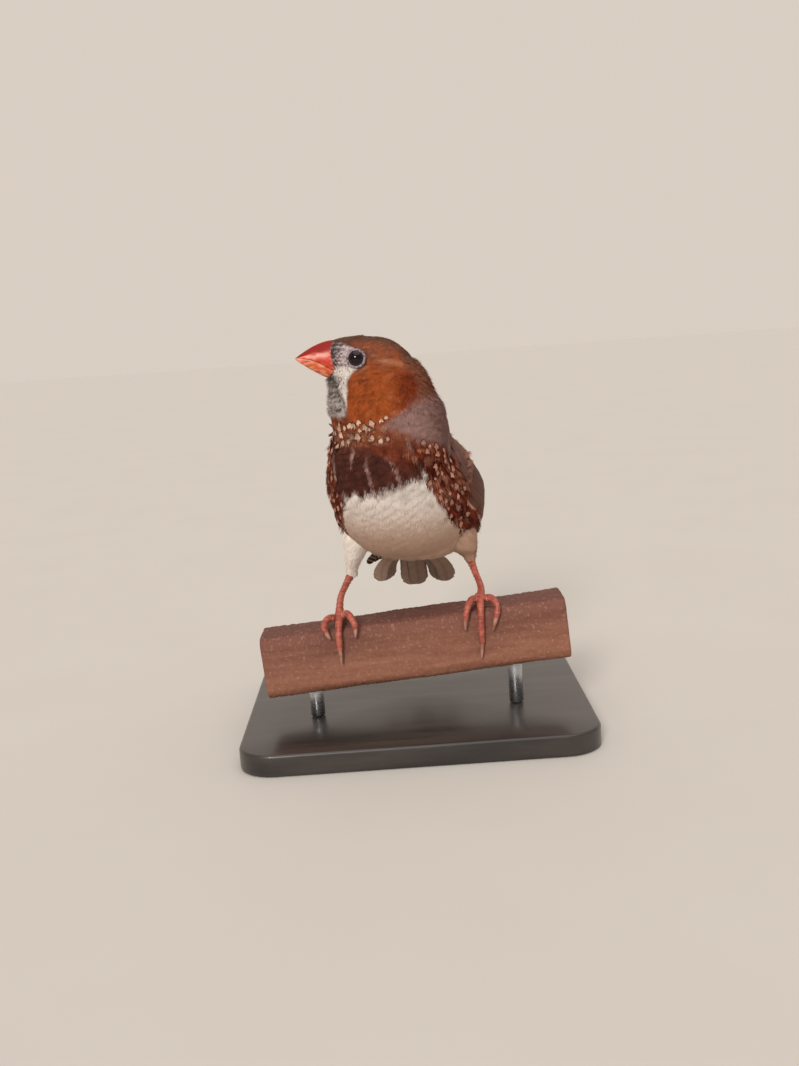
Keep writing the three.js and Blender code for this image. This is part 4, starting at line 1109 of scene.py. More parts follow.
def region(t, angle):
    """Soft shares of the body's regions: head, throat, breast with band, flanks, belly and back."""
    own = own_angle(t, angle)
    aside = np.abs(own)
    points = body(t, angle)
    up = points[..., 2] + 0.7 * wobble(points, 2.2, 41)
    head = step_smoothly(up, 54.8, 56.8) * (t > 8.2)
    flank_edge = np.interp(t, FLANK_AT, FLANK_EDGE)
    flank_top = np.interp(aside, FLANK_TOP_AT, FLANK_TOP)
    past_edge = aside - np.interp(t, WING_EDGE_AT, WING_EDGE) > 4
    flank = step_smoothly(aside, flank_edge - 1, flank_edge + 3) * (t < flank_top + 0.05) * (t > 3.9)
    flank = flank * (1 - head) * (1 - past_edge)
    collar = (t > 8.0) * (1 - head) * (aside < np.interp(t, [8.0, 8.4, 8.7, 9.2], [62, 54, 62, 66]))
    back = (1 - head) * (1 - flank) * (1 - collar) * np.maximum(past_edge, t > flank_top)
    front = (1 - head) * (1 - flank) * (1 - collar) * (1 - back)
    return {"head": head, "flank": flank, "collar": collar, "back": back, "front": front}


def kept_in(part, extra=None):
    """The test that keeps a root in one region and uncovered."""
    def keep(t, angle):
        kept = (region(t, angle)[part] > 0.5) & ~is_covered(t, angle, form(t, angle))
        return kept & extra(t, angle) if extra else kept

    return keep


def grow_region(name, part, count, t_range, style, seed, extra=None):
    """The coat of one region of the body, its roots spread by the region's own soft share."""
    roots = spread_roots(form, count, lambda t, angle: region(t, angle)[part], t_range)
    grow_coat(name, form, roots, body_lie, style, seed, kept_in(part, extra))


# %% Head coat
def head_length(t, angle):
    """Tufts from 0.9 mm by the bill to 2.3 mm on the nape."""
    f, _, up = head_place(body(t, angle))
    return np.interp(f, [-10, 0, 6, 12], [2.3, 1.8, 1.2, 0.9]) * np.interp(up, [56, 62], [1.35, 1])


def head_weight(t, angle):
    """Closer set towards the bill."""
    f, _, _ = head_place(body(t, angle))
    return region(t, angle)["head"] * np.interp(f, [-6, 2, 8, 12], [0.6, 0.95, 2.1, 2.6])


def head_stand(t, angle):
    """Throat tufts stand out a little, and so do some on the nape."""
    f, aside, up = head_place(body(t, angle))
    throat = step_smoothly(f, 9.5, 11) * (1 - step_smoothly(up, 66.5, 68.5))
    throat = throat * step_smoothly(up, 56, 59) * (aside < 7)
    nape = step_smoothly(-f, 6, 9) * (up < 72) * step_smoothly(up, 57, 60)
    chance = np.sin(angle * 91 + t * 777)
    return 1.1 * throat * step_smoothly(chance, -0.6, 0.9) + 0.55 * nape * (chance > 0.5)


def on_face(t, angle):
    """How likely a tuft is dark: often by the bill, seldom in the white wedge and on the cheek."""
    f, _, up = head_place(body(t, angle))
    face = step_smoothly(f - np.interp(up, FACE_UP, FACE_EDGE), 0, 0.5)
    near = bell((np.maximum(bill_ratio(form(t, angle))[1], 1), 1, 0.4))
    return face * (0.16 + 0.6 * near) * (1 - 0.7 * inside(f, up, STRIPE, 0.3))


head_style = {
    "barbs": 3, "length": head_length, "width": lambda t, a: head_length(t, a) * 0.17 + 0.08,
    "lift": (-0.65, -0.16), "arch": 0.02, "thick": 0.05, "loose": 0.05, "proud": 0.045, "swing": 10,
    "round": 0.25, "ragged": 0.08, "shoulder": 0.55, "stand": head_stand, "varied": 0.07, "streaky": 0.05,
    "depth": 0.9, "tip": 1.08, "flecks": [(on_face, "3c2c2a", 0.85)],
}
head_roots = spread_roots(form, 12600, head_weight, (8.2, 11.985), cells=(200, 180))
nape_style = {**head_style, "varied": 0.04, "depth": 0.95, "tip": 1.04}
for name, style, test, seed in (
    ("coat_face", head_style, lambda t, a: head_place(body(t, a))[0] > 4.5, 31),
    ("coat_nape", nape_style, lambda t, a: head_place(body(t, a))[0] <= 4.5, 38),
):
    grow_coat(name, form, head_roots, body_lie, style, seed, kept_in("head", test))

# %% Collar, breast and belly
collar_style = {
    "barbs": 5, "length": constant(2.6), "width": constant(0.8), "lift": (-0.8, -0.05), "arch": 0.06,
    "thick": 0.05, "varied": 0.08, "streaky": 0.06, "tip": 1.06,
    "flecks": [(lambda t, a: 0.25 * (t > 8.25), "bf957f", 0.6), (constant(0.3), "4a2317", 0.6)],
}
front_style = {
    "barbs": 7, "length": lambda t, a: np.interp(t, [2, 4, 7, 8], [3.6, 4.8, 4.0, 3.0]),
    "width": lambda t, a: np.interp(t, [2, 4, 7, 8], [1.1, 1.35, 1.15, 0.9]),
    "lift": (-0.7, -0.06), "arch": 0.05, "thick": 0.04, "loose": 0.018, "proud": 0.012,
    "varied": 0.025, "streaky": 0.03, "ragged": 0.08, "depth": 0.99, "tip": 1.01,
}
grow_region("coat_collar", "collar", 1150, (7.8, 9.4), collar_style, 32)
grow_region("coat_front", "front", 2780, (1.2, 8.4), front_style, 33)

# %% Flanks and back
def flank_stand(t, angle):
    """The flank's lowest feathers hang out beside the wing's lower edge."""
    beside = step_smoothly(np.abs(angle), 54, 66) * (1 - step_smoothly(np.abs(angle), 70, 80))
    return 2.2 * step_smoothly(-t, -5.3, -4.5) * beside


def not_under_wing(t, angle):
    """The folded wing's lower part leaves no room for flank feathers under it."""
    return (np.abs(own_angle(t, angle)) < 82) | (t > 5.7)


flank_style = {
    "barbs": 7, "length": lambda t, a: np.interp(t, [4.3, 5.2, 6, 8], [6.6, 6.2, 4.5, 3.2]),
    "width": lambda t, a: np.interp(t, [4.3, 6, 8], [0.75, 1.0, 1.1]), "stand": flank_stand,
    "lift": (-0.85, -0.02), "arch": 0.08, "thick": 0.05, "varied": 0.2, "streaky": 0.14, "swing": 9,
    "ragged": 0.12, "depth": 0.85, "tip": 1.1,
    "flecks": [
        (lambda t, a: np.interp(t, [4.6, 6], [0.1, 0.28]), "bd8468", 0.7),
        (lambda t, a: np.interp(t, [4.6, 6], [0.5, 0.3]), "34100a", 0.7),
    ],
}
back_style = {
    "barbs": 7, "length": constant(3.8), "width": constant(1.25), "lift": (-0.85, -0.04), "arch": 0.08,
    "thick": 0.045, "varied": 0.04, "streaky": 0.035, "loose": 0.02, "proud": 0.015,
}
grow_region("coat_flanks", "flank", 1050, (3.8, 8.1), flank_style, 34, not_under_wing)
grow_region("coat_back", "back", 2700, (1.2, 9.2), back_style, 35)

# %% [markdown]
# ## Pale spots
# The spots of flanks and collar are the pale ends of single feathers, each before a dark rim. They
# are too few and too plain to see to be left to chance, so each has its measured place and size, and
# those of the left side are laid on the right side too. A spot is a small pale tuft on a larger dark
# one, a little above the coat.


# %% Spots as tufts
MIRRORED_FROM = 36  # degrees to the left, past which a spot is laid on the right side too


def grow_spots(name, spots, pale, dark, seed):
    """Tufts whose middles lie at the spots: each root is half a tuft's length up the body from it."""
    t, own, size = np.array(spots, float).T
    t, own, size = np.tile(t, 2), np.concatenate([own, -own]), np.tile(size, 2)
    draw = np.random.default_rng(seed)
    shown = (np.arange(len(t)) < len(t) // 2) | (own < -MIRRORED_FROM)
    t, own, size = t[shown], own[shown] + draw.normal(0, 0.5, shown.sum()), size[shown]
    long = size * np.interp(t, [4.6, 6.0, 7.0], [2.2, 1.9, 1.6])
    wide = size * np.interp(t, [4.6, 6.0, 7.0], [0.52, 0.62, 0.68])
    angle = own + np.interp(t, TWIST_AT, TWIST)
    places = np.stack([(own + 180) / 360, t / 12], -1)
    slope = np.linalg.norm(surface_frame(form, t, angle)[1], axis=-1)
    for part, scale, lift, shade in (("rims", 1.3, (-0.2, 0.03), dark), ("spots", 1.0, (-0.1, 0.1), pale)):
        reach = long * scale
        roots = (t + (0.4 * long + 0.3 * reach) / slope, angle, places)
        style = {
            "barbs": 5, "length": lambda *_, reach=reach: reach, "lift": lift, "arch": 0.05, "thick": 0.05,
            "width": lambda *_, scale=scale: wide * scale, "round": 0.45, "waist": 0.35, "shoulder": 0.6,
            "ragged": 0.2, "swing": 16, "varied": 0.2, "streaky": 0.07, "depth": 0.8, "tip": 1.04,
            "colours": constant(colour(shade)),
        }
        grow_coat(f"{name}_{part}", form, roots, body_lie, style, seed)


grow_spots("flank", FLANK_SPOTS, "cb9179", "4c1810", 51)
grow_spots("collar", COLLAR_SPOTS, "d8af96", "55281a", 53)


# %% Thighs
def lie_down(points, normals, slope_t, t):
    """Straight down along the surface's own t, as on the leg and the folded wing."""
    return -unit(slope_t)


def thigh_weight(t, angle):
    """Closer set towards the heel."""
    return np.interp(t, [0, 3, 5], [2, 1, 0.6])


thigh_style = {
    "barbs": 5, "length": lambda t, a: np.interp(t, [0, 4], [2.0, 3.4]), "loose": 0.06, "proud": 0.05,
    "width": lambda t, a: np.interp(t, [0, 4], [0.5, 1.0]), "lift": (-0.6, 0.0), "arch": 0.06, "ragged": 0.1,
    "thick": 0.045, "varied": 0.03, "streaky": 0.04, "swing": 9,
}
# The left thigh's darker buff is painted shade and the right thigh's near-white is painted light: one pale
# plumage, shaded and lit.
for side, seed, hue in (("left", 36, "c6a28b"), ("right", 37, "fdf1e6")):
    thigh_style["colours"] = constant(colour(hue))
    roots = spread_roots(thigh(side), 700, thigh_weight, (0.1, 4.6), cells=(60, 60))
    grow_coat(f"coat_thigh_{side}", thigh(side), roots, lie_down, thigh_style, seed)

# %% [markdown]
# ## Flight feathers
# The long feathers of wing and tail are firm vanes with a shaft. Each is a closed blade: a top sheet
# with a raised shaft, and a flat underside. A tier of them is one array: feather, place along it,
# place round its section. Their roots and tips run evenly from the first feather to the last, so a
# tier fans and overlaps as a real one does.

# %% A tier of vanes as one array
TOP_POINTS, UNDER_POINTS, VANE_ROWS = 11, 7, 18
RING = TOP_POINTS + UNDER_POINTS


def vane_section(thick, shaft):
    """Across (-1 to 1) and height round a vane's section: a low arch with a shaft on top, and a
    flat underside."""
    over = np.linspace(-1, 1, TOP_POINTS)
    height = thick * (1 - over**2) + shaft * bell((over, 0, 0.1))
    under = np.linspace(1, -1, UNDER_POINTS + 2)[1:-1]
    return np.concatenate([over, under]), np.concatenate([height, 0 * under - 0.2 * thick])


def vane_outline(s, blunt, ragged, phase):
    """Half width along a vane: it widens from a narrow root, holds, and closes in a rounded tip. The
    edge is nicked by two sines, most of all towards the tip."""
    body_part = 0.42 + 0.58 * step_smoothly(s, 0.0, 0.38)
    tip = np.sqrt(np.clip(1 - np.clip((s - blunt) / (1 - blunt), 0, 1) ** 2, 0, 1))
    nicks = np.sin(67 * s + phase) + 0.7 * np.sin(113 * s + 2 * phase)
    return body_part * tip * (1 + ragged * nicks * (0.3 + step_smoothly(s, 0.6, 1.0)))


def vane_tier(spot, count, half, blunt=0.72, thick=0.1, shaft=0.12, ragged=0.0, seed=5):
    """Points, faces and vane coordinates of a tier. spot(k, s, across, up) gives the point for
    feather share k, place s along it, millimetres across and height."""
    draw = np.random.default_rng(seed)
    v, height = vane_section(thick, shaft)
    s = 1 - (1 - np.linspace(0, 1, VANE_ROWS + 2)[1:-1]) ** 1.6
    k, s, v = np.meshgrid(np.linspace(0, 1, count), s, v, indexing="ij")
    phase = draw.uniform(0, 6, (count, 1, 1))
    across = v * half * vane_outline(s, blunt, ragged, phase + 3 * (v > 0))
    rows = spot(k, s, across, height + 0 * k)
    none = np.zeros((count, 1))
    ends = [spot(k[:, :1, 0], none + at, none, none) for at in (-0.01, 1.0)]
    points = np.concatenate([rows.reshape(count, -1, 3), *ends], 1)
    quads, fans = outward(points[0], *loft_faces(VANE_ROWS, RING))
    step = points.shape[1]
    faces = [np.concatenate([f + i * step for i in range(count)]) for f in (quads, fans)]
    chance = draw.uniform(size=(count, 1, 1)) + 0 * v
    vane = np.stack([v, s, chance], -1).reshape(count, -1, 3)
    tips = np.stack([none, none, chance[:, :1, 0]], -1)
    vane = np.concatenate([vane, tips, tips + [0, 1, 0]], 1)
    return points.reshape(-1, 3), faces, vane.reshape(-1, 3)


def vanes_piece(name, tiers, stands_for):
    """Several tiers as one piece. Each tier is (points, faces, vane, colours)."""
    mesh = add_mesh(name, *joined([(tier[0], *tier[1]) for tier in tiers]))
    vane, rgb = (np.concatenate([tier[i] for tier in tiers]) for i in (2, 3))
    paint_colours(mesh, "plumage", rgb)
    paint_points(mesh, "vane", "FLOAT_VECTOR", vane)
    add_piece(mesh, VANE_FEATHERS, stands_for)


# %% The wings
WING_TIERS = [  # count, first and last root, first and last tip [place, degrees], half width, lift
    (9, (4.3, 78), (4.0, 100), (1.9, 122), (0.6, 146), 1.9, (0.0, 0.15), "4a2013"),
    (9, (4.9, 78), (4.7, 116), (2.6, 98), (2.0, 142), 2.3, (0.05, 0.3), "562a1a"),
    (4, (4.9, 118), (5.2, 146), (2.2, 144), (3.0, 160), 3.2, (0.2, 0.5), "5f3a2c"),
    (9, (6.0, 76), (6.1, 134), (4.35, 76), (3.9, 136), 2.6, (-0.1, 0.25), "5c3322"),
    (8, (6.9, 78), (7.0, 132), (5.5, 76), (5.2, 132), 2.6, (-0.25, 0.15), "76503f"),
]
PALE_EDGE = colour("b08878")


def wing_lift(t, aside):
    """How far the folded wing stands off its bed: most at its lower edge, beside the flank. Over the
    forearm it lies a little deeper."""
    low = step_smoothly(-t, -5.5, -4.8) * step_smoothly(t, 3.2, 4.3)
    drop = bell((t, 6.35, 0.85)) * (1 - step_smoothly(aside, 100, 126))
    return 1.4 * low * (1 - step_smoothly(aside, 94, 126)) - 1.1 * drop


def shoulder(t, angle):
    """The wing's bed with its lift, which becomes the body's outline over the shoulder joint."""
    bed, _, _, normal = surface_frame(wing_bed, t, angle)
    raised = bed + normal * (wing_lift(t, np.abs(angle)) - 0.1)[..., None]
    high = step_smoothly(t, 6.5, 7.5)[..., None]
    return raised * (1 - high) + form(t, angle) * high


def wing_spot(side, first, last, first_tip, last_tip, lifts):
    """A feather's points on the wing's bed: root and tip mixed by k, place by s, lifted off the bed,
    and tilted so that one edge lies over the next feather."""
    def spot(k, s, across, up):
        root = [first[i] + (last[i] - first[i]) * k for i in (0, 1)]
        tip = [first_tip[i] + (last_tip[i] - first_tip[i]) * k for i in (0, 1)]
        t = root[0] + (tip[0] - root[0]) * s
        wide = through(GIRTH[:, 0], np.maximum(t, 2))
        degrees = root[1] + (tip[1] - root[1]) * s + np.degrees(across / wide)
        point, _, _, normal = surface_frame(wing_bed, t, side * degrees)
        lift = lifts[0] + (lifts[1] - lifts[0]) * s + up + 0.06 * across + wing_lift(t, degrees)
        return point + normal * lift[..., None]

    return spot


def wing_colours(vane, base, low_edge):
    """Brown, warmer and paler at the edges, with a dark shaft. The tier's lowest feather is palest."""
    v, _, chance = vane.T
    rgb = blend(base, PALE_EDGE, 0.16 * step_smoothly(np.abs(v), 0.72, 1.0))
    rgb = blend(rgb, base * 0.6, 0.5 * bell((v, 0, 0.09))) * (0.95 + 0.1 * chance)[:, None]
    return blend(rgb, colour("c09884"), low_edge * step_smoothly(-v, 0.62, 0.8))


def wing_brown(t, angle):
    """The mantle's grey-mauve at the shoulder, brown lower down."""
    rgb = blend(colour("855d4e"), MANTLE, step_smoothly(t, 6.5, 7.6))
    return rgb * (1 + 0.05 * wobble(wing_bed(t, angle), 2, 61))[..., None]


def shoulder_edge(t, angle):
    """The coverts' region: the folded wing's upper part, above the flank's feathers."""
    low = np.interp(t, [5.6, 6.05, 6.3, 6.62, 7.6, 8.0], [72, 70, 74, 80, 80, 92])
    right = np.interp(t, [5.9, 6.3], [74, 90])
    return (np.abs(angle) > np.maximum(low, np.where(angle < 0, right, 0))) & (t < 7.9)


shoulder_style = {
    "barbs": 7, "length": lambda t, a: np.interp(t, [5.6, 8], [3.4, 2.4]), "width": constant(1.15),
    "lift": (-0.7, -0.05), "arch": 0.05, "least_bend": -0.02,
    "thick": 0.04, "colours": wing_brown, "varied": 0.05, "streaky": 0.035, "loose": 0.02, "proud": 0.02,
}
for name, side in (("left", 1), ("right", -1)):
    tiers = []
    for number, (count, *ends, half, lifts, brown) in enumerate(WING_TIERS):
        spot = wing_spot(side, *ends, lifts)
        points, faces, vane = vane_tier(spot, count, half, ragged=0.015, seed=70 + number)
        lowest = np.arange(len(points)) < len(points) // count
        tiers.append((points, faces, vane, wing_colours(vane, colour(brown), lowest * (number in (1, 3)))))
    vanes_piece(f"flight_feathers_{name}", tiers, [f"wing_{name}"])
    span = (70, 160) if side > 0 else (-160, -70)
    roots = spread_roots(shoulder, 1000, constant(1), (5.9, 7.9), span, cells=(60, 90))
    grow_coat(f"wing_coverts_{name}", shoulder, roots, lie_down, shoulder_style,
              75 + side, shoulder_edge)

# %% The tail
TAIL_ROOT_AT, TAIL_TIP, TAIL_ARCH = 1.45, np.array([2.3, 54.5, -3.6]), 1.2
BUNCHES = [(-9.3, 0.88, 2.5), (0, 1.12, 3.1), (8.9, 0.98, 2.9)]  # the end's place aside, length, half width
BUNCH_APART, LAYER = 0.8, 0.4
tail_root = through(SPINE, np.array(TAIL_ROOT_AT))
tail_way = TAIL_TIP - tail_root
tail_side = np.array([1.0, 0, 0])
tail_over = unit(np.cross(tail_side, tail_way))
# The tail's underside colour is painted light: it lifts the underside out of the shade under the body.
TAIL_GREY, TAIL_UNDER_LIGHTENED = colour("80685b"), colour("d0ab94")


def tail_spot(ends, lengths, layers, arch=TAIL_ARCH):
    """A tail feather: back from the root, swinging aside early and then straight, on its own layer
    and a little arched."""
    ends, lengths, layers = (np.asarray(x, float) for x in (ends, lengths, layers))

    def spot(k, s, across, up):
        i = np.round(k * (len(ends) - 1)).astype(int)
        out = np.sin(np.pi / 2 * np.clip(s / 0.85, 0, 1))
        over = layers[i] + up + arch * np.sin(np.pi * np.minimum(s, 0.5)) + 0.05 * across
        aside = ends[i] * out + across
        return (tail_root + tail_way * (lengths[i] * s)[..., None] + tail_side * aside[..., None]
                + tail_over * over[..., None])

    return spot


def tail_colours(vane):
    """Grey-brown above and, below, a pale colour that is painted light against the body's shade, with a
    darker shaft, soft streaks along the barbs and worn edges. A point's side shows in the order of the
    section: the first ones are on top."""
    v, s, chance = vane.T
    place = np.arange(len(vane)) % (VANE_ROWS * RING + 2) % RING
    base = np.where((place < TOP_POINTS)[:, None], TAIL_GREY, TAIL_UNDER_LIGHTENED)
    streak = np.sin(40 * (s - 0.3 * np.abs(v)) + 6 * chance) * np.sin(9 * v + 20 * chance)
    worn = 0.25 * step_smoothly(np.abs(v), 0.6, 1.0) + 0.3 * step_smoothly(s, 0.8, 1)
    rgb = blend(blend(base, colour("c3aa98"), worn), base * 0.5, 0.4 * bell((v, 0, 0.08)))
    return rgb * ((0.9 + 0.2 * chance) * (1 + 0.07 * streak))[:, None]


def barred_colours(vane):
    """Black with white bars across, as on the long coverts over the tail."""
    bars = np.sin(2 * np.pi * (vane[:, 1] * 3.4 + 0.2))
    return blend(BLACK_BAR, WHITE_BAR, step_smoothly(bars, -0.1, 0.5))


def mottled_colours(vane):
    """The short coverts beside the thigh: dark brown with narrow, broken pale bars."""
    v, s, chance = vane.T
    bars = np.sin(2 * np.pi * (s * 4.6 + 0.3 * v) + 5 * chance)
    return blend(colour("33261c"), colour("b39a80"), 0.8 * step_smoothly(bars, 0.3, 0.9))


def side_spot(k, s, across, up):
    """Three barred feathers at the bird's right, which show beside the thigh."""
    root, tip = np.array([-6.0, 9.0, 17.0]), np.array([-9.9, 14.0, 12.3])
    place = root + (tip - root) * s[..., None] + np.array([1.5, 1.0, 0.4]) * ((k - 0.5) * 2)[..., None]
    return place + np.array([0.76, 0, -0.65]) * across[..., None] + np.array([0.0, -1, 0.3]) * up[..., None]


tiers = []
for number, (middle, length, half) in enumerate(BUNCHES):
    order = np.arange(4)
    outward_rank = (3 - order, np.abs(order - 1.5), order)[number]
    layers = -LAYER * (3 * abs(number - 1) + outward_rank)
    spot = tail_spot(middle + (order - 1.5) * BUNCH_APART, length * (1 - 0.02 * np.abs(order - 1.5)), layers)
    points, faces, vane = vane_tier(spot, 4, half, 0.8, thick=0.12, ragged=0.06, seed=80 + number)
    tiers.append((points, faces, vane, tail_colours(vane)))
fan = np.linspace(-1, 1, 7)
over_spot = tail_spot(5 * fan, 0.56 * (1 - 0.25 * np.abs(fan)), 1.5 - 0.9 * fan**2)
over, beside = (over_spot, 7, 2.4, barred_colours), (side_spot, 3, 1.0, mottled_colours)
for spot, count, half, colours in (over, beside):
    points, faces, vane = vane_tier(spot, count, half, ragged=0.03, seed=84)
    tiers.append((points, faces, vane, colours(vane)))
spot = tail_spot(5 * fan, 0.36 * (1 - 0.25 * np.abs(fan)), -2.6 + 0.7 * fan**2, arch=0)
points, faces, vane = vane_tier(spot, 7, 2.4, seed=85)
tiers.append((points, faces, vane, CREAM * (0.9 + 0.1 * vane[:, 2:])))
vanes_piece("tail_feathers", tiers, ["tail"])

# %% [markdown]
# ## The bill
# A finch's bill is a short deep cone of horn, split by the gape, which bends down at its corner. Each
# half is a loft of sections along the cone: an arc over the outside and a nearly flat floor along the
# gape. The horn is red above and salmon below, a little translucent, and darker at its root.

# %% Bill halves
GAPE_AT, GAPE_UP = [-0.3, 0.1, 0.48, 1.1], [-3.9, -2.7, -0.5, 0.25]
GAPE_GAP, RIDGE = 0.07, 0.12


def gape_height(s):
    """Height of the gape at s: straight lines between four places, rounded by a running mean, and
    brought to the middle line at the tip."""
    near = np.stack([np.interp(s + d, GAPE_AT, GAPE_UP) for d in (-0.1, -0.05, 0, 0.05, 0.1)])
    return near.mean(0) * (1 - np.clip(s, 0, 1) ** 8)


def bill_half(upper, arc=40, floor=12, rows=44):
    """One half: at each s the egg-shaped section's arc on its side of the gape, shut by a floor."""
    s = np.linspace(-BEAK_SUNK / beak_length, 0.985 if upper else 0.965, rows)
    top, low, wide = (beak_size(key, s) for key in ("top", "low", "wide"))
    cut = gape_height(s) + (GAPE_GAP if upper else -GAPE_GAP)
    ratio = np.clip(cut / np.where(cut > 0, top, low), -0.97, 0.97)
    reach = np.arccos(ratio)
    turn = np.linspace(-1, 1, arc)
    angle = turn * reach[:, None] if upper else np.pi + turn * (np.pi - reach[:, None])
    c, sn = np.cos(angle), np.sin(angle)
    up = c * np.where(c > 0, top[:, None], low[:, None])
    side = sn * (1 - RIDGE * np.maximum(c, 0)) * wide[:, None]
    share = np.linspace(1, 0, floor + 2)[1:-1]
    dip = np.sin(np.pi * share) * (0.12 if upper else -0.12) * wide[:, None]
    floor_side = side[:, :1] + (side[:, -1:] - side[:, :1]) * share
    floor_up = up[:, :1] + (up[:, -1:] - up[:, :1]) * share + dip
    side, up = np.concatenate([side, floor_side], 1), np.concatenate([up, floor_up], 1)
    rows_at = BEAK_ROOT + beak_way * s[:, None, None] + beak_side * side[..., None]
    end = BEAK_ROOT + beak_way * (1.0 if upper else 0.975)
    return loft(rows_at + beak_up * up[..., None], None, end)


def horn_colours(points, upper):
    """Deep red along the ridge, a painted sheen of pale highlights in a band under it, orange-red by
    the gape and salmon below, all broken into short strokes that run along the bill, with a dark red root."""
    away = points - BEAK_ROOT
    s, up = away @ beak_ahead / beak_length, away @ beak_up
    lie = np.stack([s * beak_length * 0.4, away @ beak_side, up], -1)
    stroke, cloud = wobble(lie, 1.3, 91), wobble(lie, 3.2, 92)
    level = up / beak_size("top" if upper else "low", np.clip(s, 0, 0.93))
    if upper:
        rgb = blend(colour("c9402c"), colour("d8705c"), step_smoothly(stroke, 0.1, 0.9))
        # Painted highlight: a pale salmon sheen in a band under the ridge.
        painted_sheen = bell((level, 0.3, 0.2)) * step_smoothly(cloud + 0.6 * stroke, -0.7, 0.7)
        rgb = blend(rgb, colour("f4ae9e"), 0.9 * painted_sheen)
        ridge = step_smoothly(level + 0.12 * cloud + 0.05 * stroke, 0.38, 0.62)
        rgb = blend(rgb, colour("8e170d"), 0.95 * ridge)
    else:
        rgb = blend(colour("e26f46"), colour("f09f7c"), step_smoothly(stroke, -0.1, 0.8))
        rgb = blend(rgb, colour("e08a52"), 0.5 * step_smoothly(cloud, 0.0, 1.0))
        rgb = blend(rgb, colour("ab3320"), 0.6 * step_smoothly(-stroke, 0.5, 1.2))
    rgb = blend(rgb, colour("651812"), 0.8 * (1 - step_smoothly(s + 0.02 * stroke, 0.0, 0.11)))
    return blend(rgb, colour("9c3a22"), 0.4 * step_smoothly(s, 0.93, 1.0))


material, tree, shader = new_material(
    "bill_horn", Roughness=0.5, Subsurface_Weight=0.06, Subsurface_Radius=(0.0016, 0.0006, 0.0003),
    Specular_IOR_Level=0.2,
)
grain = noise_on(tree, 900.0, 4.0)
hue = shaded(tree, painted(tree, "horn"), stepped(tree, grain, 0.35, 0.7, 0.85, 1.1))
dull = stepped(tree, grain, 0.3, 0.7, 0.4, 0.6)
wire(tree, shader, Base_Color=hue, Roughness=dull, Normal=relief(tree, grain, 0.25, 0.0001))
for name, upper, node in (("upper_bill", True, "bill_upper"), ("lower_bill", False, "bill_lower")):
    made = bill_half(upper)
    mesh = loft_mesh(name, made)
    paint_colours(mesh, "horn", horn_colours(made[0], upper))
    add_piece(mesh, material, [node])

# %% [markdown]
# ## The eyes
# A finch's eye is a dark wet ball: only a cap of it shows, inside a ring of bare, beaded, blue-grey
# lid. The ball is a sphere with its poles on the line of sight, so that iris and pupil are bands of
# one angle. The ring is a flattened tube with small beads round it.


# %% Eyeballs and lids
def seat_axes(out):
    """Two directions across the line of sight: one level, one upward."""
    level = unit(np.cross([0, 0, 1.0], out))
    return level, np.cross(out, level)


def eyeball(seat, out, rows=40, around=48):
    """A sphere round a centre sunk under the lids, with its rings round the sight line."""
    centre = seat - out * EYE["sunk"]
    level, up = seat_axes(out)
    polar = np.linspace(0, np.pi, rows + 2)[1:-1, None]
    turn = np.linspace(0, 2 * np.pi, around, endpoint=False)
    ring = level * np.cos(turn)[:, None] + up * np.sin(turn)[:, None]
    rows_at = centre + EYE["ball"] * (out * np.cos(polar)[..., None] + ring * np.sin(polar)[..., None])
    return loft(rows_at, centre + out * EYE["ball"], centre - out * EYE["ball"])


def eyelid(seat, out):
    """A flattened ring round the ball: its middle circle, plus a small tube that is wider than it is
    tall, with beads as a sine round the ring. It is a little wider behind the eye than before it."""
    level, up = seat_axes(out)
    turn = np.linspace(0, 2 * np.pi, LID_AROUND, endpoint=False)[:, None]
    small = np.linspace(0, 2 * np.pi, LID_SECTION, endpoint=False)[None]
    beads = np.sin(22 * turn + 2.5 * np.sin(3 * turn) + np.sin(7 * turn))
    bead = 1 + 0.16 * beads * np.clip(np.sin(small), 0, 1)
    reach = LID_REACH + 0.02 * np.sin(3 * turn + 1) + 0.33 * np.cos(small) * bead
    rise = -0.14 + 0.2 * np.sin(small) * bead - 0.24 * (reach - LID_REACH)
    ring = level * np.cos(turn)[..., None] + up * np.sin(turn)[..., None]
    return seat + ring * reach[..., None] + out * rise[..., None], np.cos(small) + 0 * turn


def ring_faces(around, section):
    """Quads of a tube that closes on itself both ways."""
    i, j = np.meshgrid(np.arange(around), np.arange(section), indexing="ij")
    i1, j1 = (i + 1) % around, (j + 1) % section
    faces = np.stack([i * section + j, i1 * section + j, i1 * section + j1, i * section + j1], -1)
    return faces.reshape(-1, 4)


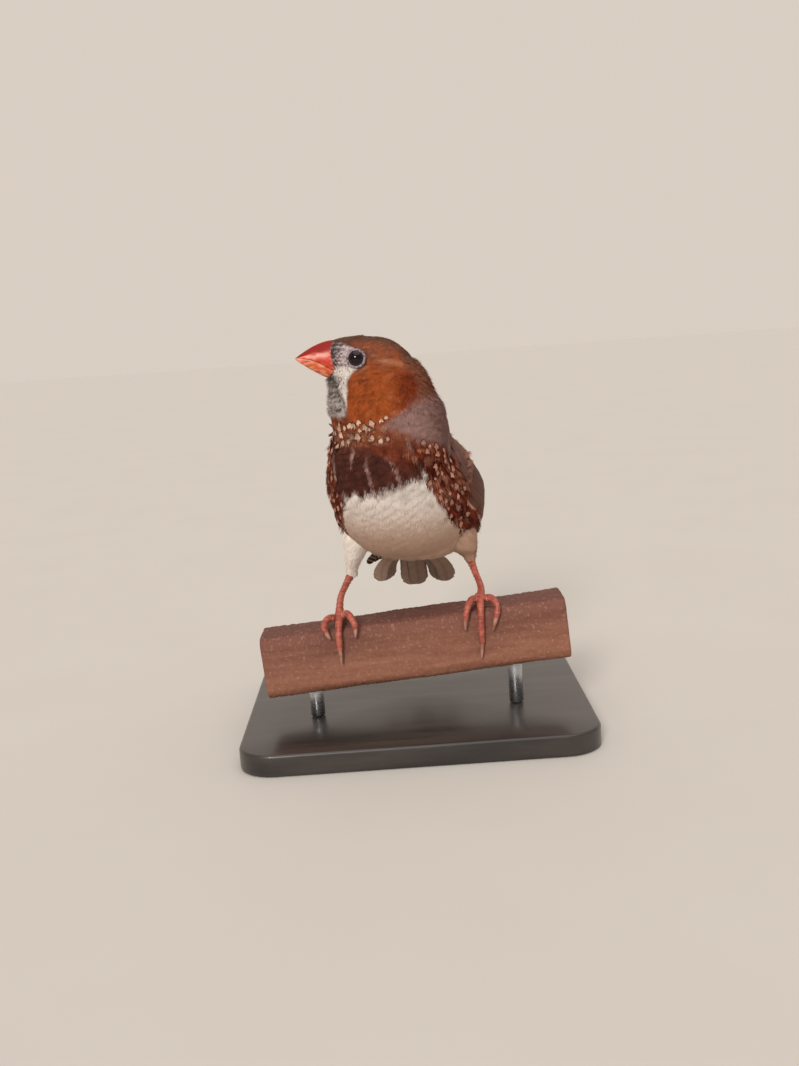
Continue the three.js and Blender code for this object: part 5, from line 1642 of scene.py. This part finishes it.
LID_AROUND, LID_SECTION, LID_REACH = 132, 18, 2.2  # points each way, and the ring's radius
eye_material, tree, shader = new_material("wet_eye", Roughness=0.03, IOR=1.38)
wire(tree, shader, Base_Color=painted(tree, "iris"))
lid_material, tree, shader = new_material("bare_lid", Roughness=0.6, Specular_IOR_Level=0.25)
fine = relief(tree, noise_on(tree, 3000.0), 0.3, 0.00005)
wire(tree, shader, Base_Color=painted(tree, "lid"), Normal=fine)
for name, (seat, out) in zip(("left", "right"), EYE_SEATS):
    made = eyeball(seat, out)
    angle = np.degrees(np.arccos(np.clip(unit(made[0] - seat + out * EYE["sunk"]) @ out, -1, 1)))
    iris = step_smoothly(angle, 30, 34) * (angle < 50)
    rgb = blend(colour("0c0306"), colour("2a1512"), iris)
    mesh = loft_mesh(f"eyeball_{name}", made)
    paint_colours(mesh, "iris", rgb)
    add_piece(mesh, eye_material, [f"eye_{name}"])
    lid, outer = eyelid(seat, out)
    points, outer = lid.reshape(-1, 3), outer.ravel()
    mottle = wobble(points, 0.8, 95)
    rgb = blend(colour("988a90"), colour("54434a"), step_smoothly(mottle, -0.1, 0.9))
    rgb = blend(rgb, colour("6f5f60"), 0.7 * step_smoothly(outer + 0.25 * mottle, 0.45, 0.95))
    rgb = blend(rgb, colour("2c2225"), step_smoothly(-outer, 0.8, 0.97))
    faces = ring_faces(LID_AROUND, LID_SECTION)
    corners = points[faces]
    centre = seat + unit(corners.mean(1) - seat) * LID_REACH
    faced = np.cross(corners[:, 1] - corners[:, 0], corners[:, 2] - corners[:, 0])
    inward = ((corners.mean(1) - centre) * faced).sum() < 0
    mesh = add_mesh(f"eyelid_{name}", points, [faces[:, ::-1] if inward else faces])
    paint_colours(mesh, "lid", rgb)
    add_piece(mesh, lid_material)

# %% [markdown]
# ## Legs, toes and claws
# The bare leg is clad in overlapping scutes, like roof tiles round a pipe. A tube along a curve gives
# the form, and a saw-tooth added to its radius gives each scute its step. Toes are the same with
# softer pads below. Claws are thin curved cones of paler horn.

# %% Tubes along a path, with scutes
LEGS = {
    "right": {
        "heel": (-16.0, 7, 10.2), "bow": ((-17.7, 3.5, 8.1), (-19.2, 0.0, 5.3)), "foot": (-19.6, -3.4, 2.2),
        "toes": [
            (((0.5, -0.6, 0), (2.4, -3, 1.4), (3.9, -5.6, -0.5), (4.2, -6.1, -2.4)), (3.7, -6, -5)),
            (((0, -0.8, 0), (-0.1, -3.4, -0.5), (-0.5, -5.6, -3), (-0.8, -6.1, -7.8)), (-0.9, -6, -12)),
            (((-0.7, -0.6, 0), (-3, -2.6, 0.6), (-4.3, -5.2, -0.9), (-3.8, -6.1, -2.3)), (-2.9, -6.1, -4.4)),
            (((0, 0.6, -0.2), (0.3, 3.4, -0.6), (0.5, 6.6, -0.8)), (0.4, 11.3, -1.4)),
        ],
    },
    "left": {
        "heel": (17.7, 7, 12.2), "bow": ((18.7, 3.4, 9.2), (19.7, -0.6, 6.0)), "foot": (19.4, -4.2, 2.2),
        "toes": [
            (((-0.5, -0.6, 0), (-2.6, -2.4, 0.5), (-4.2, -4.6, -1.6), (-5, -5.1, -4.2)), (-5.3, -5.1, -7.2)),
            (((0, -0.8, 0), (-0.3, -2.8, -0.5), (-0.7, -4.8, -3.2), (-1.4, -5.1, -11)), (-2, -5.1, -15.6)),
            (((0.6, -0.6, 0), (2.9, -2.3, 0.2), (4, -4.4, -1.8), (3.3, -5.1, -4.8)), (1.9, -5.1, -8.2)),
            (((0, 0.6, -0.2), (-0.3, 3.4, -0.6), (-0.4, 6.8, -0.8)), (-0.3, 11.5, -1.3)),
        ],
    },
}
PERCH = {"length": 84, "depth": 16, "height": 17.5, "round": 3, "tilt": np.radians(4)}


def on_perch(places):
    """Along the batten, across it and up from its top, turned by the batten's tilt."""
    x, y, z = np.moveaxis(np.asarray(places, float), -1, 0)
    c, s = np.cos(PERCH["tilt"]), np.sin(PERCH["tilt"])
    return np.stack([c * x - s * z, y, s * x + c * z], -1)


def tube(path, radius, around, steps):
    """A tube along a smooth curve through the path's points: at each step a ring square to the
    curve, with a radius that may change with the place and with the angle round it."""
    s = np.linspace(0, 1, steps)
    at = s * (len(path) - 1)
    centre = through(path, at)
    way = unit(through(path, at + 0.02) - through(path, at - 0.02))
    across = unit(np.array([1.0, 0, 0]) - way * way[:, :1])
    over = np.cross(across, way)
    turn = np.linspace(0, 2 * np.pi, around, endpoint=False)
    size = radius(s[:, None], turn[None]) * np.ones((steps, around))
    ring = across[:, None] * np.cos(turn)[:, None] + over[:, None] * np.sin(turn)[:, None]
    return loft(centre[:, None] + ring * size[..., None], centre[0], centre[-1]), (s, turn)


def scute_step(s, turn, count, edge):
    """A saw-tooth along the tube, strongest on the front: each scute starts high and ends low."""
    part = (s * count) % 1
    tooth = 0.5 - part + 0.35 * bell((part, 0.04, 0.06))
    return edge * tooth * (0.55 + 0.45 * np.sin(turn))


def scale_map(s, turn, count):
    """Place within a scute from 0 to 1, and which scute it is, for the material."""
    s, turn = np.broadcast_arrays(s[:, None], turn[None])
    return np.stack([(s * count) % 1, np.floor(s * count) / count, np.sin(turn)], -1)


def with_ends(values):
    """A value for each ring point, and again for the two end points of the loft."""
    return np.concatenate([values.reshape(-1, values.shape[-1]), values[0, :1], values[-1, :1]])


def leg_tube(path, radius, count, edge, around, steps):
    """A scuted tube with its scale map."""
    def grown(s, turn):
        return radius(s) + scute_step(s, turn, count, edge)

    made, (s, turn) = tube(np.asarray(path, float), grown, around, steps)
    return made, with_ends(scale_map(s, turn, count))


LEG_SCUTES, tree, shader = new_material(
    "leg_scutes", Roughness=0.45, Subsurface_Weight=0.1, Subsurface_Radius=(0.001, 0.0004, 0.0002),
)
part = add_node(tree, "ShaderNodeSeparateXYZ", _0=painted(tree, "scute", "Vector")).outputs
noise = noise_on(tree, 650.0, 3.0)
skin_hue = between(tree, stepped(tree, noise, 0.35, 0.65), "984538", "b8624e")
edge_mask = maths(tree, "MULTIPLY", stepped(tree, part[0], 0.55, 0.8), stepped(tree, part[2], -0.5, 0.3))
edged = mixed(tree, maths(tree, "MULTIPLY", edge_mask, 0.85), skin_hue, opaque("dfb5a2"))
seam = maths(tree, "MULTIPLY", stepped(tree, part[0], 0.0, 0.26, 1.0, 0.0), 0.75)
hue, dull = mixed(tree, seam, edged, opaque("5c2015")), stepped(tree, noise, 0.3, 0.7, 0.36, 0.55)
wire(tree, shader, Base_Color=hue, Roughness=dull, Normal=relief(tree, noise, 0.2, 0.00006))
CLAW_HORN, tree, shader = new_material("claw_horn", Roughness=0.35, Coat_Weight=0.2)
noise = stepped(tree, noise_on(tree, 500.0, 3.0), 0.35, 0.65)
wire(tree, shader, Base_Color=between(tree, noise, "8c5a49", "b58674"))

# %% Both legs
for name, leg in LEGS.items():
    foot = on_perch(leg["foot"])
    heel = np.array(leg["heel"], float)
    way = unit(foot - heel)
    shank_path = [heel - 1.2 * way, *leg["bow"], foot + 0.3 * way]

    def shank_radius(s):
        """Thick at the heel and above the foot, slender between."""
        knobs = 0.4 * np.clip(1 - s / 0.22, 0, 1) ** 2 + 0.35 * np.clip((s - 0.78) / 0.22, 0, 1) ** 2
        return 1.18 - 0.32 * np.sin(np.pi * s) + knobs

    made, scale = leg_tube(shank_path, shank_radius, count=13, edge=0.2, around=28, steps=168)
    mesh = loft_mesh(f"leg_{name}", made)
    paint_points(mesh, "scute", "FLOAT_VECTOR", scale)
    add_piece(mesh, LEG_SCUTES, [f"shank_{name}"])

    ball, _ = tube([foot + [0, 0, up] for up in (1.5, 0.5, -0.5, -1.3)],
                   lambda s, turn: 1.55 * np.sqrt(np.clip(1 - (2 * s - 1) ** 2, 0.02, 1)),
                   around=20, steps=16)
    parts, scales = [ball], [np.tile([0.5, 0.5, 0.0], (len(ball[0]), 1))]
    for index, (path, claw) in enumerate(leg["toes"]):
        path = foot + on_perch(path)
        girth = 1.05 if index == 1 else 1.0

        def toe_radius(s, girth=girth):
            """A taper with a pad under each joint."""
            return (1.0 - 0.27 * s) * girth + 0.07 * np.sin(3 * np.pi * s) ** 2

        length = np.linalg.norm(np.diff(path, axis=0), axis=1).sum()
        made, scale = leg_tube(path, toe_radius, round(length), edge=0.17, around=20, steps=110)
        parts.append(made)
        scales.append(scale)

        end, tip = path[-1], foot + on_perch(claw)
        ahead = unit(path[-1] - path[-2])
        bend = end + (tip - end) * 0.45 + ahead * 0.8
        mix = np.linspace(0, 1, 6)[:, None]
        start = end - ahead * 0.35
        curve = (1 - mix) ** 2 * start + 2 * mix * (1 - mix) * bend + mix**2 * tip
        made, _ = tube(curve, lambda s, turn: 0.62 * (1 - s) ** 0.7 + 0.05, around=16, steps=30)
        mesh = loft_mesh(f"talon_{name}_{index + 1}", made)
        add_piece(mesh, CLAW_HORN, [f"claw_{name}_{index + 1}"])
    mesh = add_mesh(f"toes_{name}", *joined(parts))
    paint_points(mesh, "scute", "FLOAT_VECTOR", np.concatenate(scales))
    add_piece(mesh, LEG_SCUTES, [f"foot_{name}"])

# %% [markdown]
# ## Batten and stand
# The batten is a rough sawn strip with rounded edges. Its outline is a rounded rectangle carried
# along its length, and small waves pushed into the surface give the saw's marks. The stand is a dark
# lacquered board with two steel rods, kept plain so that the bird is what we look at.


# %% A rounded outline, and the batten
def rounded_outline(wide, tall, corner, per_corner=8, per_side=14):
    """Points round a rectangle with round corners, evenly along its sides, with their normals."""
    points, ways = [], []
    for quarter in range(4):
        turn = np.linspace(0, np.pi / 2, per_corner) + quarter * np.pi / 2
        sign = np.array([(1, 1), (-1, 1), (-1, -1), (1, -1)][quarter])
        middle = sign * [wide / 2 - corner, tall / 2 - corner]
        arc = middle + corner * np.stack([np.cos(turn), np.sin(turn)], -1)
        points.append(arc)
        ways.append(np.stack([np.cos(turn), np.sin(turn)], -1))
    outline, normals = [], []
    for quarter in range(4):
        start, stop = points[quarter][-1], points[(quarter + 1) % 4][0]
        share = np.linspace(0, 1, per_side + 2)[1:-1, None]
        outline += [points[quarter], start + (stop - start) * share]
        normals += [ways[quarter], np.tile(ways[quarter][-1], (per_side, 1))]
    return np.concatenate(outline), np.concatenate(normals)


outline, normals = rounded_outline(PERCH["depth"], PERCH["height"], PERCH["round"])
x = np.linspace(-PERCH["length"] / 2, PERCH["length"] / 2, 240)
chamfer = 0.35 * np.clip(1 - (PERCH["length"] / 2 - np.abs(x)) / 0.5, 0, 1) ** 2
flat = outline[None] - normals[None] * chamfer[:, None, None]
place = np.concatenate([np.broadcast_to(x[:, None, None], (*flat.shape[:2], 1)), flat], -1)
saw = np.sin(2 * np.pi * (place[..., 0] + 0.35 * place[..., 2] + 0.6 * wobble(place, 9, 101)) / 1.3)
rough = 0.05 * saw + 0.06 * wobble(place, 2.2, 102) + 0.1 * wobble(place * [0.15, 1, 1], 2.4, 103)
place[..., 1:] += normals[None] * (rough - 0.12)[..., None]
centre_drop = np.array([0, 0, PERCH["height"] / 2])
rows_at = on_perch(place - centre_drop)
end_points = on_perch(np.array([[x[0], 0, 0], [x[-1], 0, 0]]) - centre_drop)
mesh = loft_mesh("batten", loft(rows_at, *end_points))
local = with_ends(place)

inputs = {"Place": "Vector", "Fineness": "Float"}
WOOD_GRAIN, given, result = new_group("wood_grain", inputs, {"Grain": "Float", "Fleck": "Float"})
long_way = add_node(WOOD_GRAIN, "ShaderNodeMapping", Vector=given["Place"], Scale=(0.12, 1.0, 1.0))
grain = {"Vector": long_way.outputs[0], "Scale": given["Fineness"], "Detail": 6.0, "Roughness": 0.62}
fleck = {"Vector": given["Place"], "Scale": 1050.0, "Detail": 5.0, "Roughness": 0.8}
for name, inputs in (("Grain", grain), ("Fleck", fleck)):
    noise = add_node(WOOD_GRAIN, "ShaderNodeTexNoise", **inputs).outputs[0]
    WOOD_GRAIN.links.new(noise, result[name])
material, tree, shader = new_material("sawn_batten", Roughness=0.8)
wood = place_group(tree, WOOD_GRAIN, Place=object_place(tree), Fineness=900.0)
face = between(tree, stepped(tree, wood["Grain"], 0.3, 0.7), "87543f", "95634c")
# The batten's dark maroon top and its darker upper sides are painted shade.
top = painted(tree, "top", "Fac")
face = mixed(tree, maths(tree, "MULTIPLY", top, 0.75), face, opaque("552a26"))
face = mixed(tree, stepped(tree, wood["Fleck"], 0.52, 0.7, 0.0, 0.5), face, opaque("c49c8a"))
dull = stepped(tree, wood["Fleck"], 0.3, 0.7, 0.68, 0.9)
wire(tree, shader, Base_Color=face, Roughness=dull, Normal=relief(tree, wood["Grain"], 0.5, 0.0002))
# Painted shade: darker towards the batten's top, with the top face darkest.
height = local[:, 2] / PERCH["height"]
top_shade = 0.75 * step_smoothly(height + 0.1 * wobble(local * [0.3, 1, 1], 9, 104), -0.3, 0.5)
paint_points(mesh, "top", "FLOAT", np.maximum(top_shade, step_smoothly(height, 0.41, 0.49)))
add_piece(mesh, material, ["perch"])

# %% Board and rods
BOARD = {"width": 96, "depth": 90, "thick": 6, "corner": 10, "bevel": 0.8}
ROD_RADIUS = 2
bevel, turn = BOARD["bevel"], np.linspace(0, np.pi / 2, 6)
profile_up = [[0.0], bevel - bevel * np.cos(turn[1:]), BOARD["thick"] - bevel + bevel * np.sin(turn)]
profile_in = [[bevel], bevel - bevel * np.sin(turn[1:]), bevel - bevel * np.cos(turn)]
profile_up, profile_in = np.concatenate(profile_up), np.concatenate(profile_in)
outline, normals = rounded_outline(BOARD["width"], BOARD["depth"], BOARD["corner"], 14, 10)
rows_at = np.concatenate([
    outline[None] - normals[None] * profile_in[:, None, None],
    np.broadcast_to(profile_up[:, None, None], (len(profile_up), len(outline), 1)),
], -1) - BIRD
mesh = loft_mesh("board", loft(rows_at))
material, tree, shader = new_material("dark_lacquer", Roughness=0.35, Coat_Weight=0.3, Coat_Roughness=0.2)
wood = place_group(tree, WOOD_GRAIN, Place=object_place(tree), Fineness=160.0)
grain = stepped(tree, wood["Grain"], 0.35, 0.7)
dull = stepped(tree, wood["Grain"], 0.3, 0.7, 0.3, 0.42)
wire(tree, shader, Base_Color=between(tree, grain, "241f1d", "3a322e"), Roughness=dull)
add_piece(mesh, material, ["stand_base"])
material, tree, shader = new_material("brushed_rods", Metallic=1.0)
brushed = noise_on(tree, 2500.0)
dull = stepped(tree, brushed, 0.3, 0.7, 0.22, 0.4)
wire(tree, shader, Base_Color=between(tree, brushed, "a8aaac", "d0d2d4"), Roughness=dull)
for name, sign in (("left", 1), ("right", -1)):
    low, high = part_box(f"stand_rod_{name}")
    centre = np.array([(low.x + high.x) / 2, (low.y + high.y) / 2, 0]) / MM
    turn = np.linspace(0, 2 * np.pi, 40, endpoint=False)
    slant = np.tan(PERCH["tilt"])
    foot_z, head_z = low.z / MM, high.z / MM - ROD_RADIUS * slant
    rings = []
    for height, size, lean in (
        (foot_z, 0.9, 0), (foot_z + 0.25, 1.0, 0), (head_z - 0.25, 1.0, slant), (head_z, 0.95, slant)
    ):
        x, y = np.cos(turn) * ROD_RADIUS * size, np.sin(turn) * ROD_RADIUS * size
        rings.append(np.stack([x, y, height + lean * x], -1) + centre)
    mesh = loft_mesh(f"rod_{name}", loft(np.stack(rings) - BIRD))
    add_piece(mesh, material, [f"stand_rod_{name}"])

# %% [markdown]
# ## The floor
# A plain pale floor under the stand, much larger than the view. It is scenery and no part of the
# model.

# %% Floor
FLOOR_HALF = 4000.0
corners = np.array([(-1, -1, 0), (1, -1, 0), (1, 1, 0), (-1, 1, 0)]) * [FLOOR_HALF, FLOOR_HALF, 1] - BIRD
mesh = add_mesh("floor", corners, [np.array([[0, 1, 2, 3]])])
material, tree, shader = new_material("pale_floor", Roughness=0.7)
noise = noise_on(tree, 20.0, 3.0)
wire(tree, shader, Base_Color=between(tree, noise, "ccc5be", "d0cac3"))
mesh.materials.append(material)
floor = bpy.data.objects.new("floor", mesh)
bpy.context.scene.collection.objects.link(floor)
